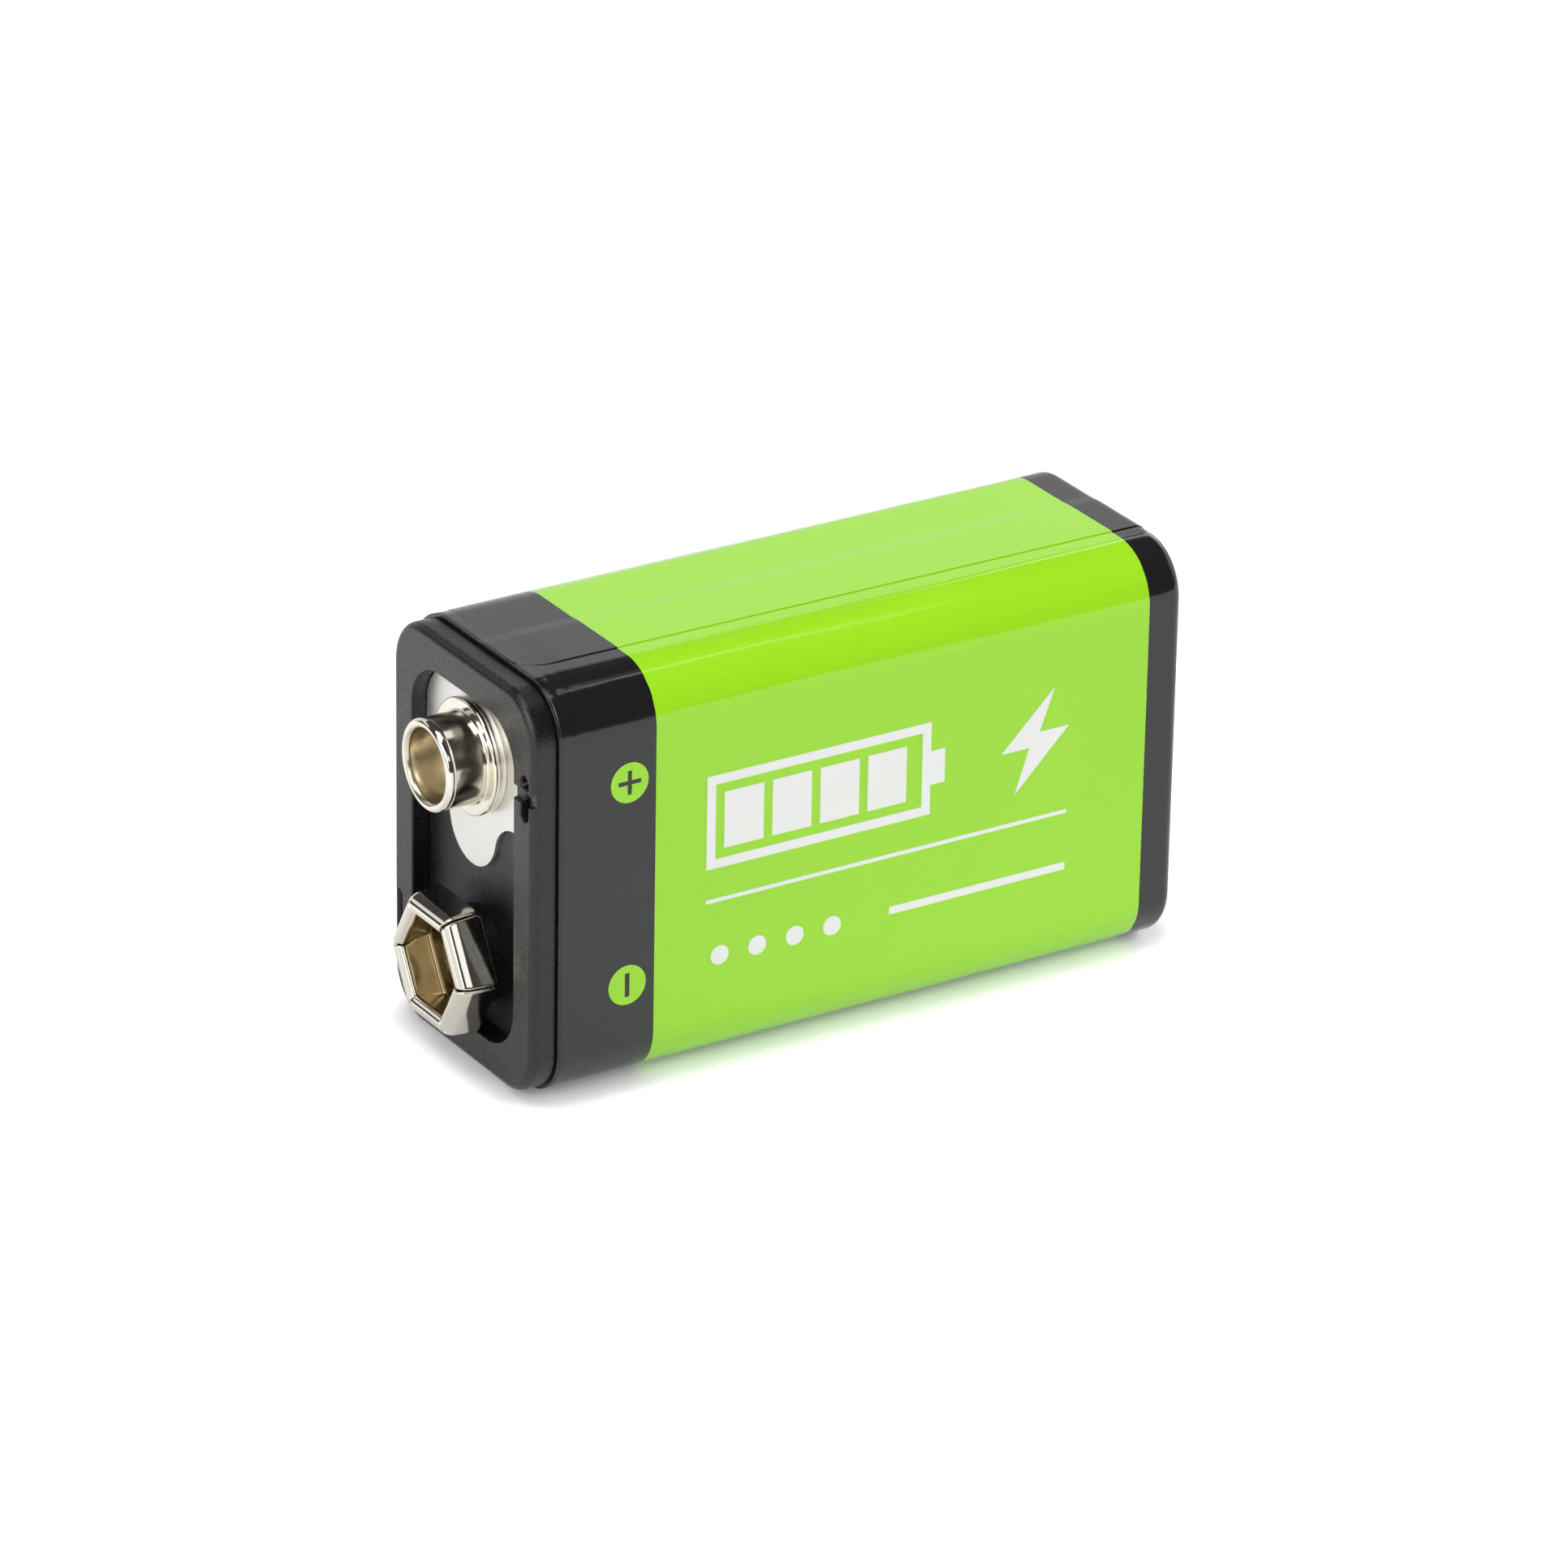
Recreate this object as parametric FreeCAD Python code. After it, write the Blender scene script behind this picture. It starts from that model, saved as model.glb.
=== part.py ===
import FreeCAD, Part
import math
import os

# Nine volt battery lying on one narrow side: X runs from the terminals to the closed end,
# Y across the two broad faces and Z up. The origin is under the middle, on the surface.

# Outside of the film
length = 47.5
thickness = 16.7
height = 26.3
corner_radius = 3.4

# Printed film, shrunk over the can, with one glued overlap on the upper narrow side
film = 0.1
film_clearance = 0.02
overlap_edge = -3.85
overlap_width = 5.25
overlap_ramp = 0.6
overlap_corner = 2.2
front_lip = 0.55
front_bevel = 0.3
rear_lip = 2.6
rear_round = 0.8
bevel_share = 0.75

# Moulded can, a cup that is open at the terminals
can_wall = 0.9
can_floor = 1.2
can_floor_bevel = 0.6
mouth_step = 0.3

# Terminal cap: a frame with a window, and a plug that sits in the can's mouth
terminal_rise = 2.45
front_wall = 1.3
flange_depth = 1.68
flange_inset = 0.25
flange_round = 0.5
film_groove = 0.14
plug_length = 1.6
plug_wall = 0.75
rim_width = 2.25
window_corner = 3.0
window_bevel = 0.12

# Terminal board behind the window, with a round boss that lifts the socket
board = 1.2
boss_height = 1.05
boss_radius = 3.0

# Contact plate under the stud, with a round tab towards the socket
plate = 0.25
plate_below_stud = 3.35
tab_radius = 2.65
tab_drop = 4.6
tab_offset = 0.45
tab_fillet = 2.35

# Terminals: their axes lie this far inside the two narrow sides, and so 12.9 apart
terminal_inset = 6.65
stud_diameter = 5.67
stud_waist_depth = 0.17
stud_bead = 0.285
stud_land = 0.3
stud_sheet = 0.32
stud_flange = 0.85
stud_flange_reach = 0.74
stud_flange_bevel = 0.12
stud_neck_length = 1.4
stud_neck_rise = 0.4
socket_mouth = 5.4
socket_sheet = 0.3
petal_fold = 1.0
petal_skirt = 2.35
petal_lean = 0.15
wall_lean = 0.5
petal_slit = 0.16
petal_count = 6

# Tubular rivets
rivet_radius = 0.95
rivet_head = 1.65
rivet_head_height = 0.3
rivet_bore = 0.5

# Nickel strips, insulation and cells
strip = 0.15
lead_width = 4.6
lead_reach = 2.3
bend_radius = 0.2
negative_tab = 9.0
insulator = 0.3
wrap = 0.15
end_pad = 1.0
cell_count = 7
cell_cap_height = 0.45
cell_cap_inset = 1.2
cell_cap_bevel = 1.2
link_width = 5.0
link_length = 10.0
weld_slot = 0.8
weld_slot_length = 4.0

# Clearances
fit = 0.05
sheet_fit = 0.02

# How far a cutting block reaches past what it cuts
over = 1.0

# Section centre
half_y = thickness / 2
half_z = (height - film) / 2
mid_z = half_z

# Depths under the film's surface
can_depth = film + film_clearance
cavity_depth = can_depth + can_wall
mouth_depth = cavity_depth - mouth_step
plug_depth = mouth_depth + fit
plug_inner_depth = plug_depth + plug_wall
board_depth = plug_inner_depth + fit
window_depth = flange_inset + rim_width
plate_depth = window_depth + fit
stack_depth = cavity_depth + strip + 2 * fit
cell_depth = stack_depth + wrap + sheet_fit

# Places along X, from the terminal tips to the closed end
tip_x = -length / 2
end_x = length / 2
face_x = tip_x + terminal_rise
board_x = face_x + front_wall
flange_back_x = face_x + flange_depth
film_x = flange_back_x + film_groove
can_x = film_x + film + film_clearance
can_end_x = end_x - film - film_clearance
step_x = flange_back_x + plug_length
floor_x = can_end_x - can_floor
plate_x = board_x - plate
board_back_x = board_x + board
lead_back_x = board_back_x + strip
tail_back_x = lead_back_x + rivet_head_height
insulator_x = tail_back_x + sheet_fit
stack_x = insulator_x + insulator + sheet_fit + strip
stack_end_x = floor_x - end_pad - strip
cell_pitch = (stack_end_x - stack_x + strip) / cell_count

stud_z = mid_z + half_z - terminal_inset
socket_z = mid_z - half_z + terminal_inset
socket_seat_x = board_x - boss_height

TOLERANCE = 1e-4


def vec(x, y, z):
    return FreeCAD.Vector(x, y, z)


def edges_along_x(solid):
    """Edges of a solid that run along X."""
    found = []
    for edge in solid.Edges:
        start, end = edge.Vertexes[0].Point, edge.Vertexes[-1].Point
        if abs(start.y - end.y) < TOLERANCE and abs(start.z - end.z) < TOLERANCE:
            found.append(edge)
    return found


def bar(x0, x1, depth, radius=None):
    """Bar from x0 to x1 whose rounded section lies a depth under the film's surface."""
    across = half_y - depth
    up = half_z - depth
    if radius is None:
        radius = corner_radius - depth
    block = Part.makeBox(x1 - x0, 2 * across, 2 * up, vec(x0, -across, mid_z - up))
    return block.makeFillet(radius, edges_along_x(block))


def rim_at(solid, x):
    """Edges of a solid that lie in the plane at x."""
    rim = []
    for edge in solid.Edges:
        places = [vertex.X for vertex in edge.Vertexes] + [edge.CenterOfMass.x]
        if all(abs(place - x) < TOLERANCE for place in places):
            rim.append(edge)
    return rim


def round_rim(solid, x, radius):
    return solid.makeFillet(radius, rim_at(solid, x))


def bevel_rim(solid, x, size):
    return solid.makeChamfer(size, rim_at(solid, x))


def prism(points, direction):
    """Solid swept straight from the flat outline through the points."""
    return Part.Face(Part.makePolygon(points + points[:1])).extrude(direction)


def line(a, b):
    return Part.LineSegment(a, b).toShape()


def arc(a, b, c):
    return Part.Arc(a, b, c).toShape()


def turned(edges, z):
    """Revolve a closed outline, drawn above the axis in the plane Y = 0, about the axis at height z."""
    face = Part.Face(Part.Wire(Part.__sortEdges__(edges)))
    return face.revolve(vec(0, 0, z), vec(1, 0, 0), 360)


def film_envelope():
    """Outside of the film, with the narrow raised band where it laps over itself."""
    plain = round_rim(bevel_rim(bar(film_x, end_x, 0), film_x, front_bevel), end_x, rear_round)
    raised = plain.translated(vec(0, 0, film))
    top = height + film
    far_edge = overlap_edge + overlap_width
    band = prism(
        [
            vec(film_x - over, overlap_edge, mid_z),
            vec(film_x - over, overlap_edge, top),
            vec(film_x - over, far_edge - 2 * overlap_ramp, top),
            vec(film_x - over, far_edge, height - film),
            vec(film_x - over, far_edge, mid_z),
        ],
        vec(length, 0, 0),
    )
    corner = Part.makeBox(
        overlap_corner + over,
        overlap_corner + over,
        height,
        vec(film_x - over, overlap_edge - over, mid_z),
    )
    rounding = Part.makeCylinder(
        overlap_corner,
        height,
        vec(film_x + overlap_corner, overlap_edge + overlap_corner, mid_z),
    )
    band = band.cut(corner.cut(rounding))
    return plain.fuse(raised.common(band)).removeSplitter()


def can_envelope(clearance=0):
    """Outside of the can, grown by a clearance, its rims bevelled to lie under the film's."""
    depth = can_depth - clearance
    mouth_x = can_x - clearance
    back_x = can_end_x + clearance
    solid = bar(mouth_x, back_x, depth)
    solid = bevel_rim(solid, mouth_x, front_bevel - depth * (2 - math.sqrt(2)))
    return bevel_rim(solid, back_x, bevel_share * (rear_round - depth))


def printed_sleeve():
    """Film with its two turned-in lips, open over the cap and over the closed end."""
    solid = film_envelope().cut(can_envelope(film_clearance))
    front_hole = bar(film_x - over, can_x, front_lip)
    rear_hole = bar(can_end_x - over, end_x + over, rear_lip)
    return solid.cut(front_hole).cut(rear_hole)


def moulded_can():
    """Thin cup with a stepped mouth that the cap's plug lands in."""
    cavity = bevel_rim(bar(can_x - over, floor_x, cavity_depth), floor_x, can_floor_bevel)
    mouth = bar(can_x - over, step_x, mouth_depth)
    return can_envelope().cut(cavity).cut(mouth)


def terminal_cap():
    """Frame round the terminals, its plug, and the plug's notch for the negative lead."""
    flange = round_rim(bar(face_x, flange_back_x, flange_inset), face_x, flange_round)
    plug = bar(flange_back_x - over, step_x, plug_depth)
    pocket = bar(board_x, step_x + over, plug_inner_depth)
    solid = flange.fuse(plug).removeSplitter().cut(pocket)
    window = bar(face_x - over, board_x + over, window_depth, window_corner)
    solid = solid.cut(window)
    window_edges = []
    for edge in solid.Edges:
        box = edge.BoundBox
        inside = box.YMax < half_y - window_depth + fit and box.YMin > window_depth - half_y - fit
        if abs(box.XMin - face_x) < fit and abs(box.XMax - face_x) < fit and inside:
            window_edges.append(edge)
    solid = solid.makeChamfer(window_bevel, window_edges)
    notch = Part.makeBox(
        step_x - board_back_x + over + fit,
        lead_width + 4 * fit,
        plug_inner_depth + over,
        vec(board_back_x - fit, -lead_width / 2 - 2 * fit, 0),
    )
    return solid.cut(notch)


def terminal_board():
    """Flat board that closes the window from behind, with the socket's boss and two rivet holes."""
    solid = bar(board_x, board_back_x, board_depth)
    boss = Part.makeCylinder(boss_radius, boss_height, vec(socket_seat_x, 0, socket_z), vec(1, 0, 0))
    solid = solid.fuse(boss)
    for z in (stud_z, socket_z):
        solid = solid.cut(rivet_hole(z))
    return solid


def rivet_hole(z):
    return Part.makeCylinder(rivet_radius + fit, length, vec(tip_x, 0, z), vec(1, 0, 0))


def positive_plate():
    """Plate that fills the window round the stud, with a round tab that two hollow curves lead into."""
    low_z = stud_z - plate_below_stud
    solid = bar(plate_x, board_x, plate_depth, window_corner - fit)
    keep = Part.makeBox(length, thickness, height, vec(tip_x, -half_y, low_z))
    solid = solid.common(keep)
    tab_z = stud_z - tab_drop
    hollow_z = low_z - tab_fillet
    across = math.sqrt((tab_radius + tab_fillet) ** 2 - (tab_z - hollow_z) ** 2)
    left, right = tab_offset - across, tab_offset + across
    outline = [(left, low_z), (left, hollow_z), (tab_offset, tab_z), (right, hollow_z), (right, low_z)]
    tab = prism([vec(plate_x, y, z) for y, z in outline], vec(plate, 0, 0))
    for y in (left, right):
        tab = tab.cut(Part.makeCylinder(tab_fillet, plate, vec(plate_x, y, hollow_z), vec(1, 0, 0)))
    tab_end = Part.makeCylinder(tab_radius, plate, vec(plate_x, tab_offset, tab_z), vec(1, 0, 0))
    return solid.fuse(tab).fuse(tab_end).removeSplitter().cut(rivet_hole(stud_z))


def positive_stud():
    """Drawn tube with a beaded mouth and a slight waist, flared into a thick flange on the plate."""
    lip = stud_diameter / 2
    waist = lip - stud_waist_depth
    flange = lip + stud_flange_reach
    bead_x = tip_x + stud_bead
    land_x = bead_x + stud_land
    shoulder_x = land_x + stud_bead
    bead_bevel = stud_bead * math.sqrt(0.5)
    flange_x = plate_x - stud_flange
    neck_x = flange_x - stud_neck_length
    neck_middle_x = flange_x - stud_neck_length / 2
    neck_middle = waist + stud_neck_rise / 4
    inner = waist - stud_sheet
    stud_floor_x = plate_x - stud_sheet
    hole = rivet_radius + fit

    def at(x, r):
        return vec(x, 0, stud_z + r)

    edges = [
        line(at(plate_x, hole), at(plate_x, flange)),
        line(at(plate_x, flange), at(flange_x + stud_flange_bevel, flange)),
        line(at(flange_x + stud_flange_bevel, flange), at(flange_x, flange - stud_flange_bevel)),
        line(at(flange_x, flange - stud_flange_bevel), at(flange_x, waist + stud_neck_rise)),
        line(at(flange_x, waist + stud_neck_rise), at(neck_middle_x, neck_middle)),
        line(at(neck_middle_x, neck_middle), at(neck_x, waist)),
        line(at(neck_x, waist), at(shoulder_x, waist)),
        line(at(shoulder_x, waist), at(land_x, lip)),
        line(at(land_x, lip), at(bead_x, lip)),
        line(at(bead_x, lip), at(bead_x - bead_bevel, lip - stud_bead + bead_bevel)),
        line(at(bead_x - bead_bevel, lip - stud_bead + bead_bevel), at(tip_x, lip - stud_bead)),
        line(at(tip_x, lip - stud_bead), at(bead_x, lip - 2 * stud_bead)),
        line(at(bead_x, lip - 2 * stud_bead), at(shoulder_x, inner)),
        line(at(shoulder_x, inner), at(stud_floor_x, inner)),
        line(at(stud_floor_x, inner), at(stud_floor_x, hole)),
        line(at(stud_floor_x, hole), at(plate_x, hole)),
    ]
    return turned(edges, stud_z)


def petal():
    """One folded petal, facing up: leaning wall, round lip and outer skirt from one sheet."""
    mouth = socket_mouth / 2
    foot = mouth + wall_lean
    outer = mouth + petal_fold
    end = outer + petal_lean
    fold_x = tip_x + petal_fold / 2
    skirt_x = tip_x + petal_skirt
    base_x = socket_seat_x - socket_sheet
    half_width = end * math.tan(math.pi / petal_count)

    def at(x, a):
        return vec(x, -half_width, socket_z + a)

    outline = [
        line(at(socket_seat_x, 0), at(socket_seat_x, foot)),
        line(at(socket_seat_x, foot), at(base_x, foot + socket_sheet)),
        line(at(base_x, foot + socket_sheet), at(fold_x, mouth + socket_sheet)),
        arc(
            at(fold_x, mouth + socket_sheet),
            at(tip_x + socket_sheet, mouth + petal_fold / 2),
            at(fold_x, outer - socket_sheet),
        ),
        line(at(fold_x, outer - socket_sheet), at(skirt_x, end - socket_sheet)),
        line(at(skirt_x, end - socket_sheet), at(skirt_x, end)),
        line(at(skirt_x, end), at(fold_x, outer)),
        arc(at(fold_x, outer), at(tip_x, mouth + petal_fold / 2), at(fold_x, mouth)),
        line(at(fold_x, mouth), at(base_x, foot)),
        line(at(base_x, foot), at(base_x, 0)),
        line(at(base_x, 0), at(socket_seat_x, 0)),
    ]
    sheet = Part.Face(Part.Wire(Part.__sortEdges__(outline))).extrude(vec(0, 2 * half_width, 0))
    spread = 2 * end
    rise = spread / math.tan(math.pi / petal_count)
    start = petal_slit / 2 / math.sin(math.pi / petal_count)
    wedge = prism(
        [
            vec(tip_x - over, 0, socket_z + start),
            vec(tip_x - over, spread, socket_z + start + rise),
            vec(tip_x - over, -spread, socket_z + start + rise),
        ],
        vec(length / 2, 0, 0),
    )
    return sheet.common(wedge)


def negative_socket():
    """Springy crown of folded petals round a hexagonal base."""
    base_apothem = socket_mouth / 2 + wall_lean - socket_sheet
    corner_reach = base_apothem / math.cos(math.pi / petal_count)
    corners = []
    for index in range(petal_count):
        angle = 2 * math.pi * (index + 0.5) / petal_count
        corners.append(
            vec(socket_seat_x, corner_reach * math.sin(angle), socket_z + corner_reach * math.cos(angle))
        )
    solid = prism(corners, vec(-socket_sheet, 0, 0))
    first = petal()
    for index in range(petal_count):
        turned_petal = first.copy()
        turned_petal.rotate(vec(0, 0, socket_z), vec(1, 0, 0), 360 * index / petal_count)
        solid = solid.fuse(turned_petal)
    return solid.removeSplitter().cut(rivet_hole(socket_z))


def rivet(z, head_seat_x):
    """Tubular rivet: round head in the terminal, hollow tail spread behind the lead."""
    head_x = head_seat_x - rivet_head_height
    slope = rivet_head_height / 2

    def at(x, r):
        return vec(x, 0, z + r)

    edges = [
        line(at(head_x, 0), at(head_x, rivet_head - 2 * slope)),
        line(at(head_x, rivet_head - 2 * slope), at(head_x + slope, rivet_head)),
        line(at(head_x + slope, rivet_head), at(head_seat_x, rivet_head)),
        line(at(head_seat_x, rivet_head), at(head_seat_x, rivet_radius)),
        line(at(head_seat_x, rivet_radius), at(lead_back_x, rivet_radius)),
        line(at(lead_back_x, rivet_radius), at(lead_back_x, rivet_head)),
        line(at(lead_back_x, rivet_head), at(tail_back_x - slope, rivet_head)),
        line(at(tail_back_x - slope, rivet_head), at(tail_back_x, rivet_radius)),
        line(at(tail_back_x, rivet_radius), at(tail_back_x, rivet_bore)),
        line(at(tail_back_x, rivet_bore), at(board_x, rivet_bore)),
        line(at(board_x, rivet_bore), at(board_x, 0)),
        line(at(board_x, 0), at(head_x, 0)),
    ]
    return turned(edges, z)


def bent_strip(corners):
    """Nickel strip swept along a route of (x, z) corners, each bend an arc."""
    points = [vec(x, 0, z) for x, z in corners]
    radius = bend_radius + strip / 2
    edges = []
    start = points[0]
    for before, corner, after in zip(points, points[1:], points[2:]):
        into = (before - corner).normalize()
        out = (after - corner).normalize()
        first = corner + into * radius
        last = corner + out * radius
        centre = first + out * radius
        middle = centre + (corner - centre).normalize() * radius
        edges.append(line(start, first))
        edges.append(arc(first, middle, last))
        start = last
    edges.append(line(start, points[-1]))
    along = (points[1] - points[0]).normalize()
    side = vec(-along.z, 0, along.x) * (strip / 2)
    across = vec(0, lead_width / 2, 0)
    ring = [
        points[0] + side + across,
        points[0] - side + across,
        points[0] - side - across,
        points[0] + side - across,
    ]
    profile = Part.makePolygon(ring + ring[:1])
    return Part.Wire(edges).makePipeShell([profile], True, False)


def positive_lead():
    """Strip from the stud's rivet, round the insulator, to the first cell's cap."""
    front = board_back_x + strip / 2
    back = stack_x - strip / 2
    top = mid_z + half_z - cell_depth - cell_cap_inset - fit
    low = stud_z - lead_reach
    solid = bent_strip([(front, low), (front, top), (back, top), (back, low)])
    return solid.cut(
        Part.makeCylinder(rivet_radius + fit, 2 * strip, vec(board_back_x, 0, stud_z), vec(1, 0, 0))
    )


def negative_lead():
    """Strip from the socket's rivet, under the stack, to the last cell's base."""
    front = board_back_x + strip / 2
    back = stack_end_x + strip / 2
    low = cavity_depth + fit + strip / 2
    corners = [(front, socket_z + lead_reach), (front, low), (back, low), (back, mid_z + negative_tab)]
    return bent_strip(corners).cut(
        Part.makeCylinder(rivet_radius + fit, 2 * strip, vec(board_back_x, 0, socket_z), vec(1, 0, 0))
    )


def front_insulator():
    """Fibre sheet between the rivets and the first cell, notched for the positive lead."""
    solid = bar(insulator_x, insulator_x + insulator, board_depth)
    notch_z = mid_z + half_z - cell_depth - cell_cap_inset - bend_radius - strip
    notch_width = lead_width + 4 * fit
    notch = Part.makeBox(2 * insulator, notch_width, height, vec(tail_back_x, -notch_width / 2, notch_z))
    return solid.cut(notch)


def stack_wrap():
    """Shrunk tube that holds the cells together and stops short of the negative lead's bend."""
    first = stack_x + cell_cap_height
    inner = cell_depth - sheet_fit
    last = stack_end_x - bend_radius - fit
    return bar(first, last, stack_depth).cut(bar(first - over, last + over, inner))


def cell(index):
    """Sealed flat cell: a can with a raised cap towards the terminals."""
    front = stack_x + index * cell_pitch
    back = front + cell_pitch - strip
    shoulder = front + cell_cap_height
    body = bar(shoulder, back, cell_depth)
    across = 2 * (half_y - cell_depth - cell_cap_inset)
    up = 2 * (half_z - cell_depth - cell_cap_inset)
    cap = Part.makeBox(cell_cap_height, across, up, vec(front, -across / 2, mid_z - up / 2))
    return body.fuse(cap.makeChamfer(cell_cap_bevel, edges_along_x(cap)))


def cell_link(index):
    """Nickel strip welded between two cells, slotted between its weld spots."""
    front = stack_x + (index + 1) * cell_pitch - strip
    solid = Part.makeBox(
        strip, link_length, link_width, vec(front, -link_length / 2, mid_z - link_width / 2)
    )
    slot = Part.makeBox(
        strip, weld_slot_length, weld_slot, vec(front, -weld_slot_length / 2, mid_z - weld_slot / 2)
    )
    return solid.cut(slot)


def end_cushion():
    """Foam pad that presses the stack against the terminals."""
    return bar(floor_x - end_pad, floor_x, stack_depth + can_floor_bevel)


def build():
    nodes = {
        "printed_sleeve": printed_sleeve(),
        "moulded_can": moulded_can(),
        "terminal_cap": terminal_cap(),
        "terminal_board": terminal_board(),
        "positive_plate": positive_plate(),
        "positive_stud": positive_stud(),
        "positive_rivet": rivet(stud_z, plate_x - stud_sheet),
        "negative_socket": negative_socket(),
        "negative_rivet": rivet(socket_z, socket_seat_x - socket_sheet),
        "positive_lead": positive_lead(),
        "negative_lead": negative_lead(),
        "front_insulator": front_insulator(),
        "stack_wrap": stack_wrap(),
        "end_cushion": end_cushion(),
    }
    for index in range(cell_count):
        nodes[f"cell_{index + 1}"] = cell(index)
    for index in range(cell_count - 1):
        nodes[f"cell_link_{index + 1}"] = cell_link(index)
    return nodes


os.makedirs("parts", exist_ok=True)
for name, shape in build().items():
    shape.exportStep(f"parts/{name}.step")
    print(name, round(shape.Volume, 3), shape.isValid(), len(shape.Solids))
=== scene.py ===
import math

import bpy
import numpy as np
from mathutils import Matrix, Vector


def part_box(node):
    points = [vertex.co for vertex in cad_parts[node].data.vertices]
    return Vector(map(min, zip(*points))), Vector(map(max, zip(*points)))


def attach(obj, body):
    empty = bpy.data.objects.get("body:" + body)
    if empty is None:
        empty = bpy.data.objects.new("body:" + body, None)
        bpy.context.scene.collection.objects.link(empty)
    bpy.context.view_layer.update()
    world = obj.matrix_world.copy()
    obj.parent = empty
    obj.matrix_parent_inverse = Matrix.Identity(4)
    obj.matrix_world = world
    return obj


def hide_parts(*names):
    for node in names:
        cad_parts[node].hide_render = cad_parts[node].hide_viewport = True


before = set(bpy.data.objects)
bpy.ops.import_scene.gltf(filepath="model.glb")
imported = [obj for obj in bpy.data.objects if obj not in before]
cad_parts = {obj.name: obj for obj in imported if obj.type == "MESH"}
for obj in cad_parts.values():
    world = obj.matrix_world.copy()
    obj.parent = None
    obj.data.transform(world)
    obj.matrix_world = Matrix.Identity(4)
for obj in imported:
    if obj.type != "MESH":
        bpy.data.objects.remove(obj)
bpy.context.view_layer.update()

# Cells. Seven flat nickel-metal hydride cells in drawn steel cans with nickel plating, stacked
# cap to base with a strip between each two. Their solids keep the frame's own meshes.
MM = 0.001  # The scene is in metres, and the sizes written here are in millimetres
NOISE_SPAN = {"From Min": 0.3, "From Max": 0.7}  # Where nearly all values of a noise node fall


def linear(code):
    """Linear colour with alpha of an sRGB hex code: each channel by the sRGB curve."""
    srgb = np.array([int(code[i : i + 2], 16) for i in (1, 3, 5)]) / 255
    rgb = np.where(srgb > 0.04045, ((srgb + 0.055) / 1.055) ** 2.4, srgb / 12.92)
    return (*rgb.tolist(), 1.0)


def add(tree, kind, inputs=None, bands=(), **settings):
    """Add one node. An input takes a value, a socket or a node's first output, and a ramp's bands
    are hex codes spaced evenly from 0 to 1."""
    node = tree.nodes.new("ShaderNode" + kind)
    for name, value in settings.items():
        setattr(node, name, value)
    for key, value in (inputs or {}).items():
        if isinstance(value, bpy.types.Node):
            value = value.outputs[0]
        if isinstance(value, bpy.types.NodeSocket):
            tree.links.new(value, node.inputs[key])
        else:
            node.inputs[key].default_value = value
    for index, code in enumerate(bands):
        steps = node.color_ramp.elements
        band = steps[index] if index < len(steps) else steps.new(1.0)
        band.position = index / (len(bands) - 1)
        band.color = linear(code)
    return node


def new_finish(name):
    """New empty material, its node tree, and places on the piece in millimetres."""
    material = bpy.data.materials.new(name)
    material.use_nodes = True
    tree = material.node_tree
    tree.nodes.clear()
    place = add(tree, "TexCoord").outputs["Object"]
    return material, tree, add(tree, "VectorMath", {0: place, "Scale": 1 / MM}, operation="SCALE")


def paint(material, *nodes):
    """Give whole CAD nodes one material."""
    for name in nodes:
        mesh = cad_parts[name].data
        if not mesh.materials:
            mesh.materials.append(material)
        for index in range(len(mesh.materials)):
            mesh.materials[index] = material


def drawn_nickel_steel():
    """Nickel-plated deep-drawn steel: silvery, with soft lines along the draw every 0.2 mm."""
    material, tree, place = new_finish("nickel_plated_drawn_steel")
    stretched = add(tree, "Mapping", {0: place, "Scale": (0.3, 5.0, 5.0)})
    lines = add(tree, "TexNoise", {"Vector": stretched, "Scale": 1.0, "Detail": 4.0})
    cloud = add(tree, "TexNoise", {"Vector": place, "Scale": 0.35, "Detail": 3.0})
    colour = add(tree, "ValToRGB", {0: cloud}, bands=("#A9A49C", "#C3BFB7", "#CFCBC4"))
    rough = add(tree, "MapRange", {"Value": lines, **NOISE_SPAN, "To Min": 0.24, "To Max": 0.4})
    bump = add(tree, "Bump", {"Height": lines, "Distance": 0.004 * MM})
    finish = {"Metallic": 1.0, "Base Color": colour, "Roughness": rough, "Normal": bump}
    add(tree, "OutputMaterial", {"Surface": add(tree, "BsdfPrincipled", finish)})
    return material


CELLS = [f"cell_{number}" for number in range(1, 8)]
LINKS = [f"cell_link_{number}" for number in range(1, 7)]
paint(drawn_nickel_steel(), *CELLS)


# Strips. Rolled nickel tape, cut to length and spot welded between the cells. The two leads at
# the ends of the stack are riveted to the terminals.
def rolled_nickel():
    """Rolled nickel tape: grey, brushed along its length, with faint brown heat tints."""
    material, tree, place = new_finish("rolled_nickel_tape")
    stretched = add(tree, "Mapping", {0: place, "Scale": (6.0, 0.4, 6.0)})
    grain = add(tree, "TexNoise", {"Vector": stretched, "Scale": 1.0, "Detail": 5.0})
    heat = add(tree, "TexNoise", {"Vector": place, "Scale": 0.5, "Detail": 2.0})
    colour = add(tree, "ValToRGB", {0: heat}, bands=("#8C8276", "#A8A39B", "#B7B3AC"))
    rough = add(tree, "MapRange", {"Value": grain, **NOISE_SPAN, "To Min": 0.3, "To Max": 0.5})
    bump = add(tree, "Bump", {"Height": grain, "Distance": 0.006 * MM})
    finish = {"Metallic": 1.0, "Base Color": colour, "Roughness": rough, "Normal": bump}
    add(tree, "OutputMaterial", {"Surface": add(tree, "BsdfPrincipled", finish)})
    return material


paint(rolled_nickel(), "positive_lead", "negative_lead", *LINKS)


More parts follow.
